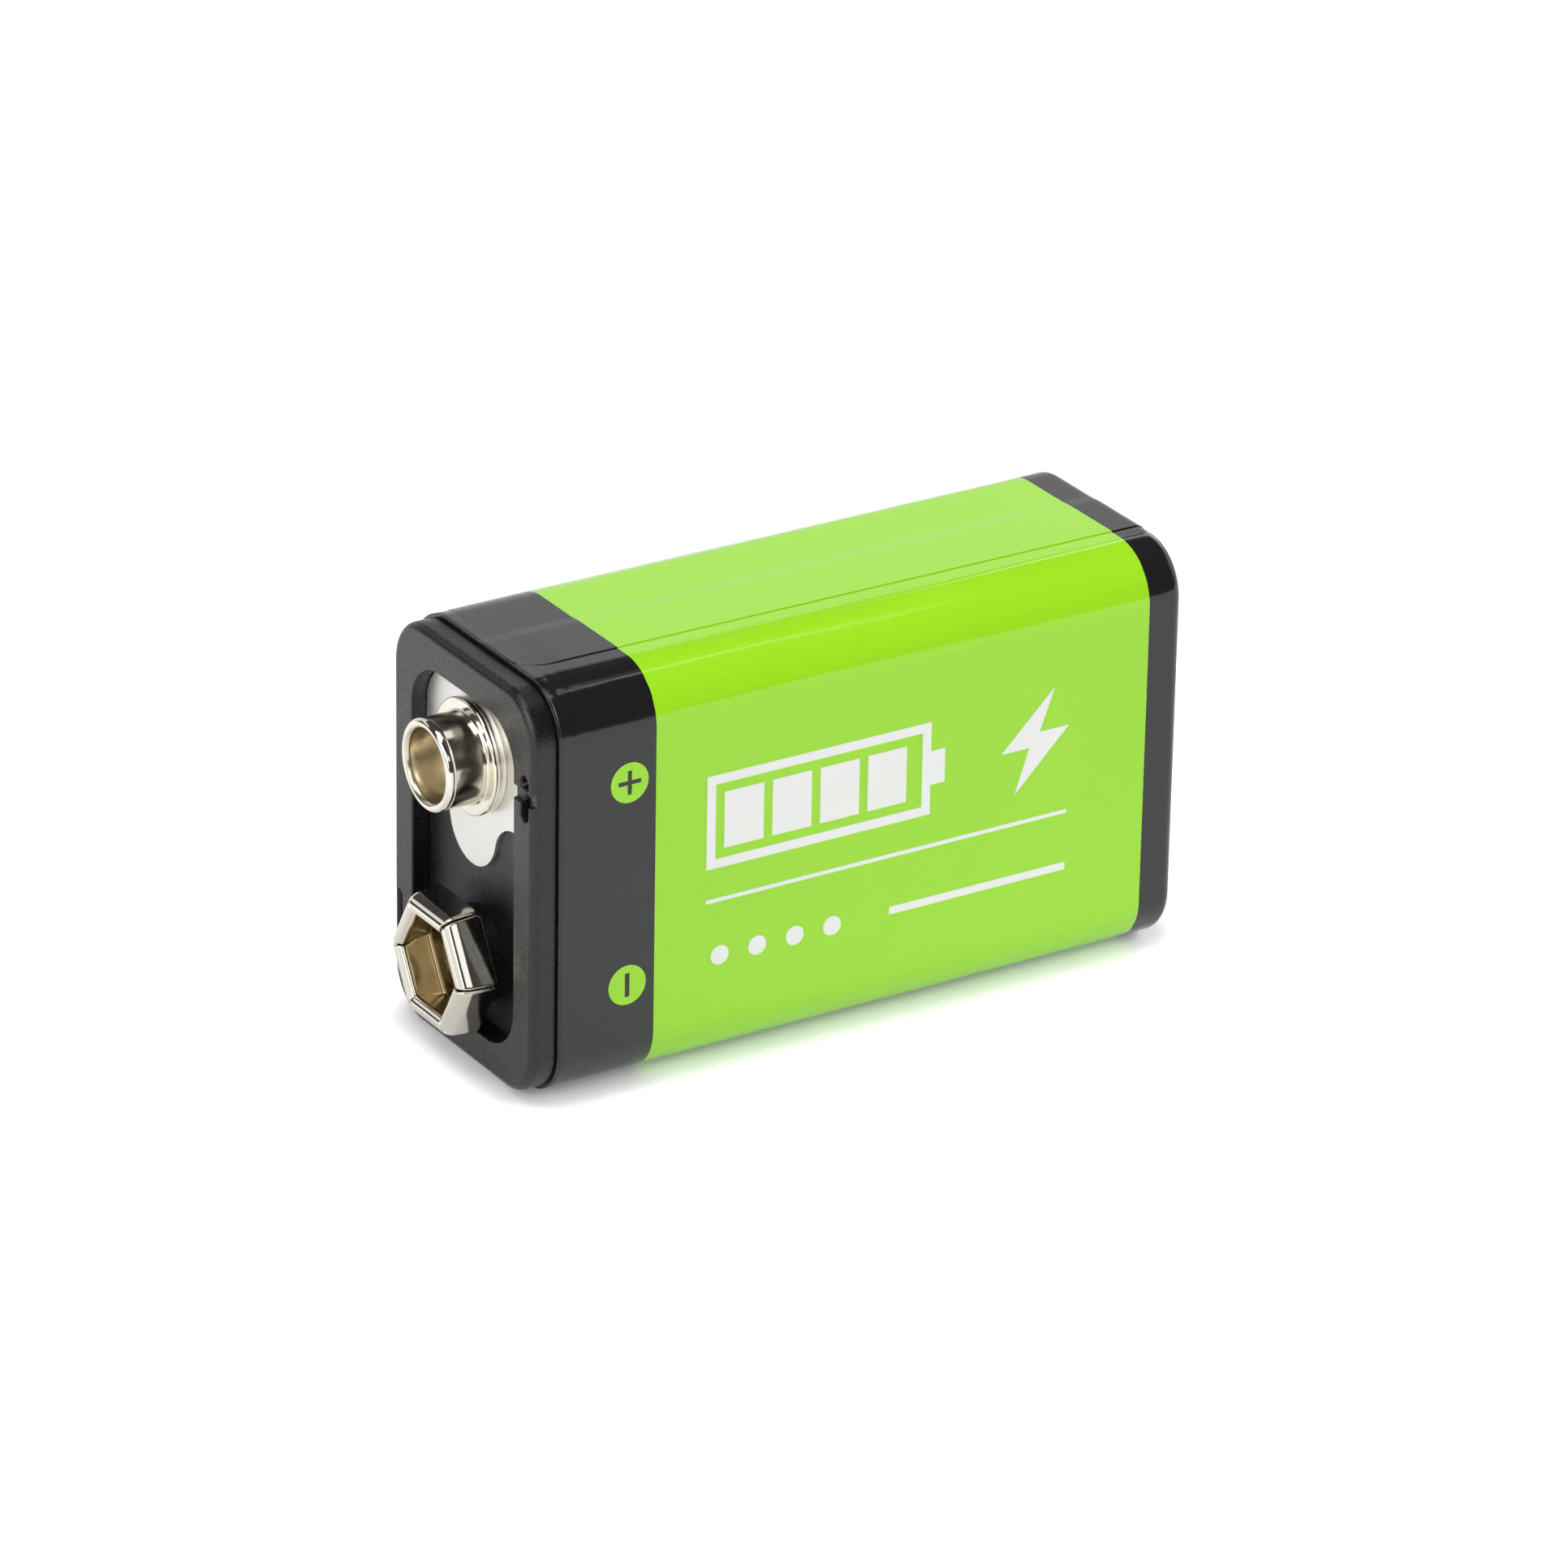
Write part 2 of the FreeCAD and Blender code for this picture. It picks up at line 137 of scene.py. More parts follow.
# Insulation. A red-brown vulcanised fibre sheet lies between the rivets and the first cell, blue
# shrink tube holds the stack together, and a foam pad fills the closed end.
def vulcanised_fibre():
    """Pressed vulcanised fibre: matt red brown, with matted fibres about 0.3 mm long."""
    material, tree, place = new_finish("vulcanised_fibre_sheet")
    matted = {"Vector": place, "Scale": 3.0, "Detail": 6.0, "Distortion": 1.5}
    fibres = add(tree, "TexNoise", matted)
    colour = add(tree, "ValToRGB", {0: fibres}, bands=("#4A1A10", "#6B2A1B", "#7F3A28"))
    bump = add(tree, "Bump", {"Height": fibres, "Distance": 0.02 * MM})
    finish = {"Base Color": colour, "Roughness": 0.75, "Normal": bump}
    add(tree, "OutputMaterial", {"Surface": add(tree, "BsdfPrincipled", finish)})
    return material


def shrink_tube():
    """Blue PVC shrink tube: glossy, with shallow shrink waves some 2 mm long."""
    material, tree, place = new_finish("blue_shrink_tube")
    ripples = add(tree, "TexNoise", {"Vector": place, "Scale": 0.5, "Detail": 3.0})
    colour = add(tree, "ValToRGB", {0: ripples}, bands=("#0B2A63", "#10377D", "#15418C"))
    rough = add(tree, "MapRange", {"Value": ripples, **NOISE_SPAN, "To Min": 0.16, "To Max": 0.3})
    bump = add(tree, "Bump", {"Height": ripples, "Distance": 0.05 * MM})
    finish = {"Base Color": colour, "Roughness": rough, "Normal": bump, "IOR": 1.53}
    add(tree, "OutputMaterial", {"Surface": add(tree, "BsdfPrincipled", finish)})
    return material


def rubber_foam():
    """Dark foam rubber: matt, with open cells about 0.4 mm across."""
    material, tree, place = new_finish("dark_rubber_foam")
    pores = add(tree, "TexVoronoi", {"Vector": place, "Scale": 2.5})
    colour = add(tree, "ValToRGB", {0: pores}, bands=("#121212", "#262626", "#343434"))
    bump = add(tree, "Bump", {"Height": pores, "Distance": 0.12 * MM})
    finish = {"Base Color": colour, "Roughness": 0.92, "Normal": bump}
    add(tree, "OutputMaterial", {"Surface": add(tree, "BsdfPrincipled", finish)})
    return material


paint(vulcanised_fibre(), "front_insulator")
paint(shrink_tube(), "stack_wrap")
paint(rubber_foam(), "end_cushion")


# Can. A thin cup moulded in black polystyrene, which the cells slide into and the film is shrunk
# over, so that it is bare only inside the film's opening at its back.
def satin_polystyrene():
    """Moulded black polystyrene: satin, with a spark-eroded grain 0.2 mm across and flow clouds."""
    material, tree, place = new_finish("moulded_black_polystyrene")
    grain = add(tree, "TexNoise", {"Vector": place, "Scale": 5.0, "Detail": 4.0})
    flow = add(tree, "TexNoise", {"Vector": place, "Scale": 0.15, "Detail": 2.0})
    colour = add(tree, "ValToRGB", {0: flow}, bands=("#151516", "#1B1B1C", "#202021"))
    rough = add(tree, "MapRange", {"Value": flow, **NOISE_SPAN, "To Min": 0.38, "To Max": 0.48})
    bump = add(tree, "Bump", {"Height": grain, "Distance": 0.012 * MM})
    finish = {"Base Color": colour, "Roughness": rough, "Normal": bump, "IOR": 1.59}
    add(tree, "OutputMaterial", {"Surface": add(tree, "BsdfPrincipled", finish)})
    return material


paint(satin_polystyrene(), "moulded_can")


# Terminal board. A flat moulding that closes the window from behind, forms the recess floor and
# lifts the socket on a round boss. It carries the same spark-eroded grain as the cap.
def eroded_moulding(name, depth_mm, low, high):
    """Black ABS from a spark-eroded mould: matt, with sparkling grains 0.12 mm across on coarser
    ones of 0.4 mm. The depth is the fine grain's, and low and high are its roughness limits."""
    material, tree, place = new_finish(name)
    fine = add(tree, "TexNoise", {"Vector": place, "Scale": 7.0, "Detail": 3.0, "Roughness": 0.6})
    coarse = add(tree, "TexNoise", {"Vector": place, "Scale": 2.5, "Detail": 2.0})
    flow = add(tree, "TexNoise", {"Vector": place, "Scale": 0.2, "Detail": 2.0})
    colour = add(tree, "ValToRGB", {0: flow}, bands=("#111112", "#161617", "#1A1A1B"))
    rough = add(tree, "MapRange", {"Value": fine, **NOISE_SPAN, "To Min": low, "To Max": high})
    soft = add(tree, "Bump", {"Height": coarse, "Distance": 0.3 * depth_mm * MM})
    bump = add(tree, "Bump", {"Height": fine, "Distance": depth_mm * MM, "Normal": soft})
    finish = {"Base Color": colour, "Roughness": rough, "Normal": bump, "IOR": 1.54}
    add(tree, "OutputMaterial", {"Surface": add(tree, "BsdfPrincipled", finish)})
    return material


board_finish = eroded_moulding("grained_black_abs_board", 0.06, 0.2, 0.4)
paint(board_finish, "terminal_board")


# Contact plate. Bright nickel-plated sheet, blanked with a round tab, which lies on the board
# under the stud and is held by the same rivet.
def bright_sheet():
    """Nickel-plated rolled sheet: nearly white, with faint rolling lines every 0.15 mm."""
    material, tree, place = new_finish("bright_nickel_sheet")
    stretched = add(tree, "Mapping", {0: place, "Scale": (1.0, 0.5, 7.0)})
    lines = add(tree, "TexNoise", {"Vector": stretched, "Scale": 1.0, "Detail": 4.0})
    colour = add(tree, "ValToRGB", {0: lines}, bands=("#EEECE7", "#F2F0EC", "#F5F3F0"))
    rough = add(tree, "MapRange", {"Value": lines, **NOISE_SPAN, "To Min": 0.4, "To Max": 0.48})
    bump = add(tree, "Bump", {"Height": lines, "Distance": 0.0006 * MM})
    finish = {"Metallic": 1.0, "Base Color": colour, "Roughness": rough, "Normal": bump}
    add(tree, "OutputMaterial", {"Surface": add(tree, "BsdfPrincipled", finish)})
    return material


def join(name, mesh, node=None):
    """Put a finished mesh in the scene on the battery's one body, and in place of a CAD node if
    one is named."""
    piece = bpy.data.objects.new(name, mesh)
    bpy.context.collection.objects.link(piece)
    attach(piece, "root")
    if node:
        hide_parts(node)
    return piece


def soften(piece, radius_mm, angle):
    """Round the edges that turn by more than an angle in degrees."""
    bevel = piece.modifiers.new("softened_edges", "BEVEL")
    bevel.width = radius_mm * MM
    bevel.segments = 3
    bevel.limit_method = "ANGLE"
    bevel.angle_limit = math.radians(angle)


plate_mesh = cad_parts["positive_plate"].data.copy()
plate_mesh.materials.clear()
plate_mesh.materials.append(bright_sheet())
contact_plate = join("contact_plate", plate_mesh, "positive_plate")
merged = contact_plate.modifiers.new("merged_corners", "WELD")
merged.merge_threshold = 0.0005 * MM
soften(contact_plate, 0.04, 50)


# Stud. A drawn, nickel-plated steel tube: a full bead round its mouth, a straight tube, and a
# thick flange folded over a thin washer, which the rivet clamps on the plate.
def corners(node):
    """Lowest and highest corner of a CAD node's box, in mm to the nearest micrometre."""
    return np.round([np.array(corner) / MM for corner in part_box(node)], 3)


stud_low, stud_high = corners("positive_stud")
TIP_X, PLATE_X = stud_low[0], stud_high[0]
STUD_Z = (stud_low[2] + stud_high[2]) / 2
STUD_SHEET = 0.32
STUD_STEPS = 192


def arc(x, r, radius, start, stop, steps):
    """Points on a circle about (x, r), evenly spaced in angle: 0 degrees is +X, 90 is outwards."""
    angle = np.radians(np.linspace(start, stop, steps))
    return np.stack([x + radius * np.cos(angle), r + radius * np.sin(angle)], 1)


def between(a, b, steps):
    """Evenly spaced points from a to b, with neither end."""
    share = np.linspace(0, 1, steps + 2)[1:-1, None]
    return np.array(a) + share * (np.array(b) - np.array(a))


def closed_mesh(name, points, *materials):
    """Smooth mesh over a grid of points in mm that closes both ways, with its faces turned out:
    they are reversed if the volume, a sum of triple products, comes out negative."""
    rows, columns = points.shape[:2]
    index = np.arange(rows * columns).reshape(rows, columns)
    above = np.roll(index, -1, 0)
    quads = np.stack([index, np.roll(index, -1, 1), np.roll(above, -1, 1), above], -1)
    quads = quads.reshape(-1, 4)
    flat = points.reshape(-1, 3) * MM
    a, b, c, d = (flat[quads[:, k]] for k in range(4))
    if np.einsum("ij,ij->i", a, np.cross(b, c) + np.cross(c, d)).sum() < 0:
        quads = quads[:, ::-1]
    mesh = bpy.data.meshes.new(name)
    mesh.from_pydata(flat.tolist(), [], quads.tolist())
    for material in materials:
        mesh.materials.append(material)
    mesh.shade_smooth()
    return mesh


def turned(profile, z, steps):
    """Grid of a profile of (x, r) carried once round the axis at height z."""
    angle = np.linspace(0, 2 * math.pi, steps, endpoint=False)
    x = np.repeat(profile[:, :1], steps, 1)
    return np.stack([x, profile[:, 1:] * np.sin(angle), z + profile[:, 1:] * np.cos(angle)], -1)


def bright_nickel(name, bands, low, high, depth_mm):
    """Bright nickel plating on drawn steel: a warm mirror, soft waves 1.4 mm long from drawing,
    and pinholes 0.1 mm across. Low and high are its roughness limits."""
    material, tree, place = new_finish(name)
    haze = add(tree, "TexNoise", {"Vector": place, "Scale": 0.7, "Detail": 2.0})
    pits = add(tree, "TexNoise", {"Vector": place, "Scale": 9.0, "Detail": 3.0})
    colour = add(tree, "ValToRGB", {0: haze}, bands=bands)
    rough = add(tree, "MapRange", {"Value": haze, **NOISE_SPAN, "To Min": low, "To Max": high})
    soft = add(tree, "Bump", {"Height": haze, "Distance": depth_mm * MM})
    bump = add(tree, "Bump", {"Height": pits, "Distance": 0.0006 * MM, "Normal": soft})
    finish = {"Metallic": 1.0, "Base Color": colour, "Roughness": rough, "Normal": bump}
    add(tree, "OutputMaterial", {"Surface": add(tree, "BsdfPrincipled", finish)})
    return material


# Outside the plating is a clear warm mirror, and on the stud's tube drawing left it hazy. Inside
# the socket its colour is a darker brown, and inside the stud and on the rivets a paler brown and
# satin: both browns are painted shade, which stands for the dimmer light inside the hollows.
warm_silver, hazy_silver = ("#E6E0D2", "#ECE7DB", "#F1EDE3"), ("#E2DAC8", "#E8E0CF", "#EDE7D8")
shaded_brown, pale_shaded_brown = ("#A89A7A", "#B4A688", "#BFB296"), ("#D6CBB2", "#DCD2BC", "#E1D8C5")
outer_nickel = bright_nickel("bright_nickel_plating", warm_silver, 0.05, 0.11, 0.004)
tube_nickel = bright_nickel("hazy_nickel_plating_on_tube", hazy_silver, 0.11, 0.19, 0.006)
shaded_hollow_nickel = bright_nickel("nickel_plating_inside_with_painted_shade", shaded_brown, 0.16, 0.24, 0.003)
shaded_inner_nickel = bright_nickel("pale_nickel_plating_with_painted_shade", pale_shaded_brown, 0.24, 0.3, 0.003)


def stud_profile():
    """Tube outline from the rivet hole, round the washer, flange, tube and bead, and down inside.
    Behind the bead's crease the tube swells back to its width with an exponential."""
    bead_length, bead_height, mouth = 0.34, 0.3, 2.835
    bead_x, bead_r = TIP_X + bead_length, mouth - bead_height
    flange, washer, tube, inner, hole = 3.57, 3.5, 2.82, 2.33, 1.0
    flange_x, washer_x, floor_x = PLATE_X - 0.85, PLATE_X - 0.45, PLATE_X - STUD_SHEET
    # Radii of the washer's heel, the sheet's edges, the flange's fold and root and the cup's corner
    heel, edge, fold, root, cup = 0.06, 0.05, 0.17, 0.12, 0.4
    seam_width, seam_depth, swell_length, taper = 0.03, 0.08, 0.8, 0.4
    bead = arc(0, 0, 1, 44, 270, 44) * (bead_length, bead_height) + (bead_x, bead_r)
    run = np.linspace(flange_x - root, bead[0, 0] + 0.02, 40)
    swell = tube - (tube - bead[0, 1]) * np.exp((bead[0, 0] - run) / swell_length)
    seam_x = washer_x - seam_width
    return np.concatenate(
        [
            between((PLATE_X, hole), (PLATE_X, washer - heel), 3),
            arc(PLATE_X - heel, washer - heel, heel, 0, 90, 4),
            arc(washer_x + edge, washer - edge, edge, 90, 180, 4),
            between((washer_x, washer - seam_depth), (seam_x, washer - seam_depth), 1),
            arc(seam_x - edge, flange - edge, edge, 0, 90, 4),
            arc(flange_x + fold, flange - fold, fold, 90, 180, 9),
            between((flange_x, flange - fold), (flange_x, tube + root), 5),
            arc(flange_x - root, tube + root, root, 0, -84, 6),
            np.stack([run, swell], 1),
            bead,
            between((bead_x, bead_r - bead_height), (bead_x + taper, inner), 4),
            between((bead_x + taper, inner), (floor_x - cup, inner), 12),
            arc(floor_x - cup, inner - cup, cup, 90, 0, 10),
            between((floor_x, inner - cup), (floor_x, hole), 5),
            np.array([[floor_x, hole], [PLATE_X, hole]]),
        ]
    )


stud_outline = stud_profile()
stud_grid = turned(stud_outline, STUD_Z, STUD_STEPS)
stud_mesh = closed_mesh("drawn_stud", stud_grid, outer_nickel, shaded_inner_nickel, tube_nickel)
# The inside, which takes the paler brown nickel with painted shade, starts below the mouth's roll,
# and the tube's own finish lies between the bead's crease and the flange's fold
inside_limit, crease_x, fold_x = 2.4, TIP_X + 0.57, PLATE_X - 0.86
along, out = stud_outline.T
past_mouth = np.arange(len(along)) > np.argmin(along)
inside = past_mouth & (out < inside_limit)
tube = ~past_mouth & (along > crease_x) & (along < fold_x)
faces_finish = np.repeat(inside + 2 * tube, STUD_STEPS).astype(np.int32)
stud_mesh.polygons.foreach_set("material_index", faces_finish)
join("drawn_stud", stud_mesh, "positive_stud")


# Socket. Six petals blanked and folded from one springy nickel-plated sheet: the walls lean in to
# a hexagonal mouth, each petal folds over in a round lip, and its skirt hangs free outside.
socket_low, socket_high = corners("negative_socket")
SEAT_X = socket_high[0]
SOCKET_Z = (socket_low[2] + socket_high[2]) / 2
MOUTH = 2.7  # From the axis to a wall's inner face, where it is nearest
SHEET = 0.3
# Half widths of the slits at the corners after each petal, and how far each petal springs out
SLITS = (0.03, 0.13, 0.06, 0.03, 0.07, 0.09)
SPRING = (0.0, -0.02, 0.03, 0.02, 0.0, 0.12)


def petal_line():
    """Middle line of a petal as (x, distance from the axis): floor, bend, leaning wall, and a lip
    of three arcs that open from tight to wide, each starting where the one before ends, and the
    straight skirt."""
    floor_x, hole, bend = SEAT_X - SHEET / 2, 0.8, 0.3
    tight, medium, wide = 0.3, 0.41, 1.25
    wall_turn, skirt_turn, turn = 14.7, 4.6, math.radians(60)
    front, ridge = TIP_X + SHEET / 2, MOUTH + SHEET / 2 + tight
    inner = arc(front + tight, ridge, tight, 270 + wall_turn, 180, 24)
    brow = arc(front + medium, ridge, medium, 180, 120, 12)[1:]
    cheek_at = brow[-1] + wide * np.array([math.cos(turn), -math.sin(turn)])
    cheek = arc(*cheek_at, wide, 120, 90 + skirt_turn, 12)[1:]
    foot = inner[0, 1] + (floor_x - bend - inner[0, 0]) * math.tan(math.radians(wall_turn))
    corner = arc(floor_x - bend, foot - bend, bend, 0, 90 + wall_turn, 10)
    skirt_end = np.array([SEAT_X - 0.35, 3.79])
    return np.concatenate(
        [
            between((floor_x, hole), (floor_x, foot - bend), 6),
            corner,
            between(corner[-1], inner[0], 16),
            inner,
            brow,
            cheek,
            between(cheek[-1], skirt_end, 14),
            skirt_end[None],
        ]
    )


def smooth(value):
    """Smooth step from 0 to 1."""
    value = np.clip(value, 0, 1)
    return value * value * (3 - 2 * value)


def folded_socket():
    """Middle surface of the crown. A petal's half width is its distance from the axis times
    tan 30 degrees, less the slit, which opens from a notch in the wall outwards, and less the
    rounding of the skirt's free corners."""
    line = petal_line()
    columns, corner = 25, 0.25
    x, out = line.T
    along = np.concatenate([[0], np.cumsum(np.hypot(*np.diff(line, axis=0).T))])
    past_lip = along > along[np.argmin(x)]
    # In the wall a slit opens over 0.6 mm from its notch, and a petal springs over 1.1 mm
    opened = np.where(past_lip, 1, smooth((SEAT_X - 1.3 - x) / 0.6))
    free = np.where(past_lip, 1, smooth((SEAT_X - 1.15 - x) / 1.1))
    into = np.clip(corner - (along[-1] - along), 0, corner)
    rounding = corner - np.sqrt(np.maximum(corner**2 - into**2, 0))
    share = np.linspace(-1, 1, columns)
    grids = []
    for petal in range(6):
        distance = out + SPRING[petal] * free
        half = out * math.tan(math.pi / 6)
        low = -half + SLITS[petal - 1] * opened + rounding
        high = half - SLITS[petal] * opened - rounding
        across = low[:, None] + (high - low)[:, None] * (share + 1) / 2
        angle = petal * math.pi / 3
        y = distance[:, None] * math.sin(angle) + across * math.cos(angle)
        z = SOCKET_Z + distance[:, None] * math.cos(angle) - across * math.sin(angle)
        grids.append(np.stack([np.repeat(x[:, None], columns, 1), y, z], -1))
    petals = np.stack(grids)
    index = np.arange(petals[..., 0].size).reshape(petals.shape[:3])
    left, right = index[:, :, :-1], index[:, :, 1:]
    quads = np.stack([left[:, :-1], left[:, 1:], right[:, 1:], right[:, :-1]], -1)
    # The inside, darkened brown by painted shade, runs up to where the wall, near its lip, comes
    # closest to the axis
    narrow = np.argmin(np.where(x < TIP_X + 0.75, out, np.inf))
    inside = np.broadcast_to((along[:-1] < along[narrow])[None, :, None], quads.shape[:3])
    mesh = bpy.data.meshes.new("folded_socket")
    mesh.from_pydata((petals.reshape(-1, 3) * MM).tolist(), [], quads.reshape(-1, 4).tolist())
    mesh.materials.append(outer_nickel)
    mesh.materials.append(shaded_hollow_nickel)
    mesh.polygons.foreach_set("material_index", inside.ravel().astype(np.int32))
    mesh.shade_smooth()
    piece = join("folded_socket", mesh, "negative_socket")
    weld = piece.modifiers.new("one_sheet", "WELD")
    weld.merge_threshold = 0.002 * MM
    thick = piece.modifiers.new("sheet", "SOLIDIFY")
    thick.thickness = SHEET * MM
    thick.offset = 0
    thick.use_even_offset = True
    soften(piece, 0.08, 40)


folded_socket()


# Rivets. Tubular nickel-plated rivets: a low round head inside each terminal, the tail spread
# behind its lead.
BOARD_X = corners("positive_plate")[1][0]
LEAD_THICK = 0.15
LEAD_X = corners("terminal_board")[1][0] + LEAD_THICK


def rivet_profile(seat_x):
    """Rivet outline from the middle of the head to its rim, along the shank and round the tail.
    Both ends stop at a pole a micrometre wide, which closes them."""
    head, shank, bore, pole = 1.65, 0.95, 0.5, 0.001
    dome, curl, thick = 0.22, 0.13, 0.3
    head_x, tail_x = seat_x - thick, LEAD_X + thick
    return np.concatenate(
        [
            np.array([[head_x, pole]]),
            between((head_x, 0), (head_x, head - dome), 6),
            arc(head_x + dome, head - dome, dome, 180, 90, 8),
            between((head_x + dome, head), (seat_x, head), 2),
            between((seat_x, head), (seat_x, shank), 3),
            between((seat_x, shank), (LEAD_X, shank), 6),
            between((LEAD_X, shank), (LEAD_X, head), 3),
            arc(LEAD_X + curl, head - curl, curl, 90, 0, 6),
            between((LEAD_X + 2 * curl, head - curl), (tail_x, bore + 0.1), 5),
            between((tail_x, bore), (BOARD_X, bore), 5),
            between((BOARD_X, bore), (BOARD_X, 0), 3),
            np.array([[BOARD_X, pole]]),
        ]
    )


# Both rivets take the paler brown nickel, whose colour is painted shade of the hollows they sit in
for name, node, z, seat_x in (
    ("stud_rivet", "positive_rivet", STUD_Z, PLATE_X - STUD_SHEET),
    ("socket_rivet", "negative_rivet", SOCKET_Z, SEAT_X - SHEET),
):
    rivet_mesh = closed_mesh(name, turned(rivet_profile(seat_x), z, 96), shaded_inner_nickel)
    join(name, rivet_mesh, node)


# Terminal cap. A frame moulded in grained black ABS: a rounded flange a little below the film, a
# window with nearly sharp edges, sunk plus and minus signs, and a plug that sits in the can.
cap_low, cap_high = corners("terminal_cap")
sleeve_low, sleeve_high = corners("printed_sleeve")
MID_Z = HALF_Z = (cap_low[2] + cap_high[2]) / 2
HALF_Y = sleeve_high[1]
CORNER = 3.4
FACE_X = cap_low[0] + 0.08
FLANGE_BACK_X = FACE_X + 1.6
STEP_X = cap_high[0]


def around(spine_y, spine_z, sides, corner_steps):
    """Start points and outward directions once round a section. Each side's points lie on a spine
    rectangle and look straight out; each corner's share one point and fan through 90 degrees."""
    starts, ways = [], []
    ends = np.array([[1, -1], [1, 1], [-1, 1], [-1, -1], [1, -1]]) * (spine_y, spine_z)
    for side in range(4):
        share = np.asarray(sides[side])[:, None]
        angle = math.radians(90 * side)
        starts.append(ends[side] + share * (ends[side + 1] - ends[side]))
        ways.append(np.tile([math.cos(angle), math.sin(angle)], (len(share), 1)))
        fan = angle + np.radians(np.linspace(0, 90, corner_steps))
        starts.append(np.tile(ends[side + 1], (corner_steps, 1)))
        ways.append(np.stack([np.cos(fan), np.sin(fan)], 1))
    return np.concatenate(starts), np.concatenate(ways)


def reach(starts, ways, half_y, half_z, radius):
    """Distance along each way to a rounded rectangle: to its straight sides, or where the way
    meets them past a corner's start, to the corner's circle, by the quadratic formula."""
    way = np.maximum(np.abs(ways), 1e-12)
    start = np.abs(starts)
    straight = ((np.array([half_y, half_z]) - start) / way).min(1)
    centre = np.array([half_y - radius, half_z - radius])
    offset = start - centre
    along = (offset * way).sum(1)
    inside = np.maximum(along**2 - (offset**2).sum(1) + radius**2, 0)
    in_corner = (start + way * straight[:, None] > centre + 1e-9).all(1)
    return np.where(in_corner, np.sqrt(inside) - along, straight)


def sunk(y, z, centre, half, radius, slope=0.07):
    """How far a point lies in a sunk shape, 0 to 1: a rounded rectangle's distance function, its
    edge spread over a slope."""
    gap_y, gap_z = np.abs(y - centre[0]) - half[0], np.abs(z - centre[1]) - half[1]
    gap = np.stack([gap_y, gap_z]) + radius
    far = np.hypot(*np.maximum(gap, 0)) + np.minimum(gap.max(0), 0) - radius
    return smooth(0.5 - far / slope)


def marked(marks, low, high, steps):
    """Even shares from low to high, with finer ones within 0.12 mm of the marks."""
    fine = [np.linspace(mark - 0.12, mark + 0.12, 9) for mark in marks]
    places = np.concatenate([np.linspace(low, high, steps)[1:-1]] + fine)
    return (np.unique(np.round(places, 4)) - low) / (high - low)


def cap_grid():
    """Closed grid of the cap: each row is a rounded rectangle at one x, from the plug's foot over
    the flange and the face to the window, and back under it. The signs then push points back."""
    spine = (2.85, 8.4)
    low_z, high_z = MID_Z - spine[1], MID_Z + spine[1]
    sides = [
        marked([5.1, 8.0], low_z, high_z, 60),
        marked([], -spine[0], spine[0], 20),
        1 - marked([18.4, 19.4, 20.2, 21.0], low_z, high_z, 90)[::-1],
        marked([-2.5, 2.5], -spine[0], spine[0], 24),
    ]
    starts, ways = around(*spine, sides, 41)
    # Depths of the plug, its hollow and the flange below the film's outside, then the radii of the
    # flange's rim and the window's edge
    plug, hollow, side, turn, edge = 0.77, 1.52, 0.24, 0.52, 0.12
    window_y, window_z, window_radius = 5.85, 10.6, 3.0

    def outside(depth):
        return reach(starts, ways, HALF_Y - depth, HALF_Z - depth, CORNER - depth)

    def window(grow):
        return reach(starts, ways, window_y + grow, window_z + grow, window_radius + grow)

    rows = [(x, outside(plug)) for x in np.linspace(STEP_X, FLANGE_BACK_X, 8)]
    rows += [(FLANGE_BACK_X, outside(depth)) for depth in np.linspace(plug, side + 0.05, 4)[1:]]
    rows += [(x, outside(side)) for x in np.linspace(FLANGE_BACK_X - 0.05, FACE_X + turn, 12)]
    for angle in np.linspace(0, math.pi / 2, 16)[1:]:
        rim_x = FACE_X + turn * (1 - math.sin(angle))
        rows.append((rim_x, outside(side + turn * (1 - math.cos(angle)))))
    outer, opening = outside(side + turn), window(edge)
    rows += [(FACE_X, outer + (opening - outer) * share) for share in np.linspace(0, 1, 48)[1:]]
    for angle in np.linspace(0, math.pi / 2, 8)[1:]:
        edge_x = FACE_X + edge * (1 - math.cos(angle))
        rows.append((edge_x, window(edge * (1 - math.sin(angle)))))
    rows += [(x, window(0)) for x in np.linspace(FACE_X + edge, BOARD_X, 12)[1:]]
    last, pocket = window(0), outside(hollow)
    rows += [(BOARD_X, last + (pocket - last) * share) for share in np.linspace(0, 1, 4)[1:]]
    rows += [(x, pocket) for x in np.linspace(BOARD_X, STEP_X, 6)[1:]]
    x = np.array([row[0] for row in rows])[:, None] + np.zeros(len(starts))
    flat = starts + np.stack([row[1] for row in rows])[..., None] * ways
    y, z = flat[..., 0], flat[..., 1] + MID_Z
    # The plus is two deep pockets joined by a shallow bar, and the minus is one deep pocket
    deep, shallow = 0.75, 0.28
    upper = deep * sunk(y, z, (-7.1, 20.68), (0.46, 0.42), 0.4)
    lower = deep * sunk(y, z, (-7.1, 19.03), (0.46, 0.72), 0.4)
    cross = shallow * sunk(y, z, (-7.0, 19.8), (1.35, 0.42), 0.1)
    minus = deep * sunk(y, z, (7.5, 6.55), (0.45, 1.45), 0.3)
    floor = np.max([upper, lower, cross, minus], 0)
    x = np.where(x < BOARD_X + 0.01, np.maximum(x, FACE_X + floor), x)
    # A notch in the plug's foot lets the lead, which is 4.6 mm wide, out with room to spare
    notch_x, notch_half = LEAD_X - LEAD_THICK - 0.05, 2.4
    notched = (z < MID_Z) & (np.abs(y) < notch_half) & (x > notch_x)
    return np.stack([np.where(notched, notch_x, x), y, z], -1)


cap_finish = eroded_moulding("grained_black_abs_cap", 0.03, 0.2, 0.4)
cap_mesh = closed_mesh("grained_cap", cap_grid(), cap_finish)
join("grained_cap", cap_mesh, "terminal_cap")


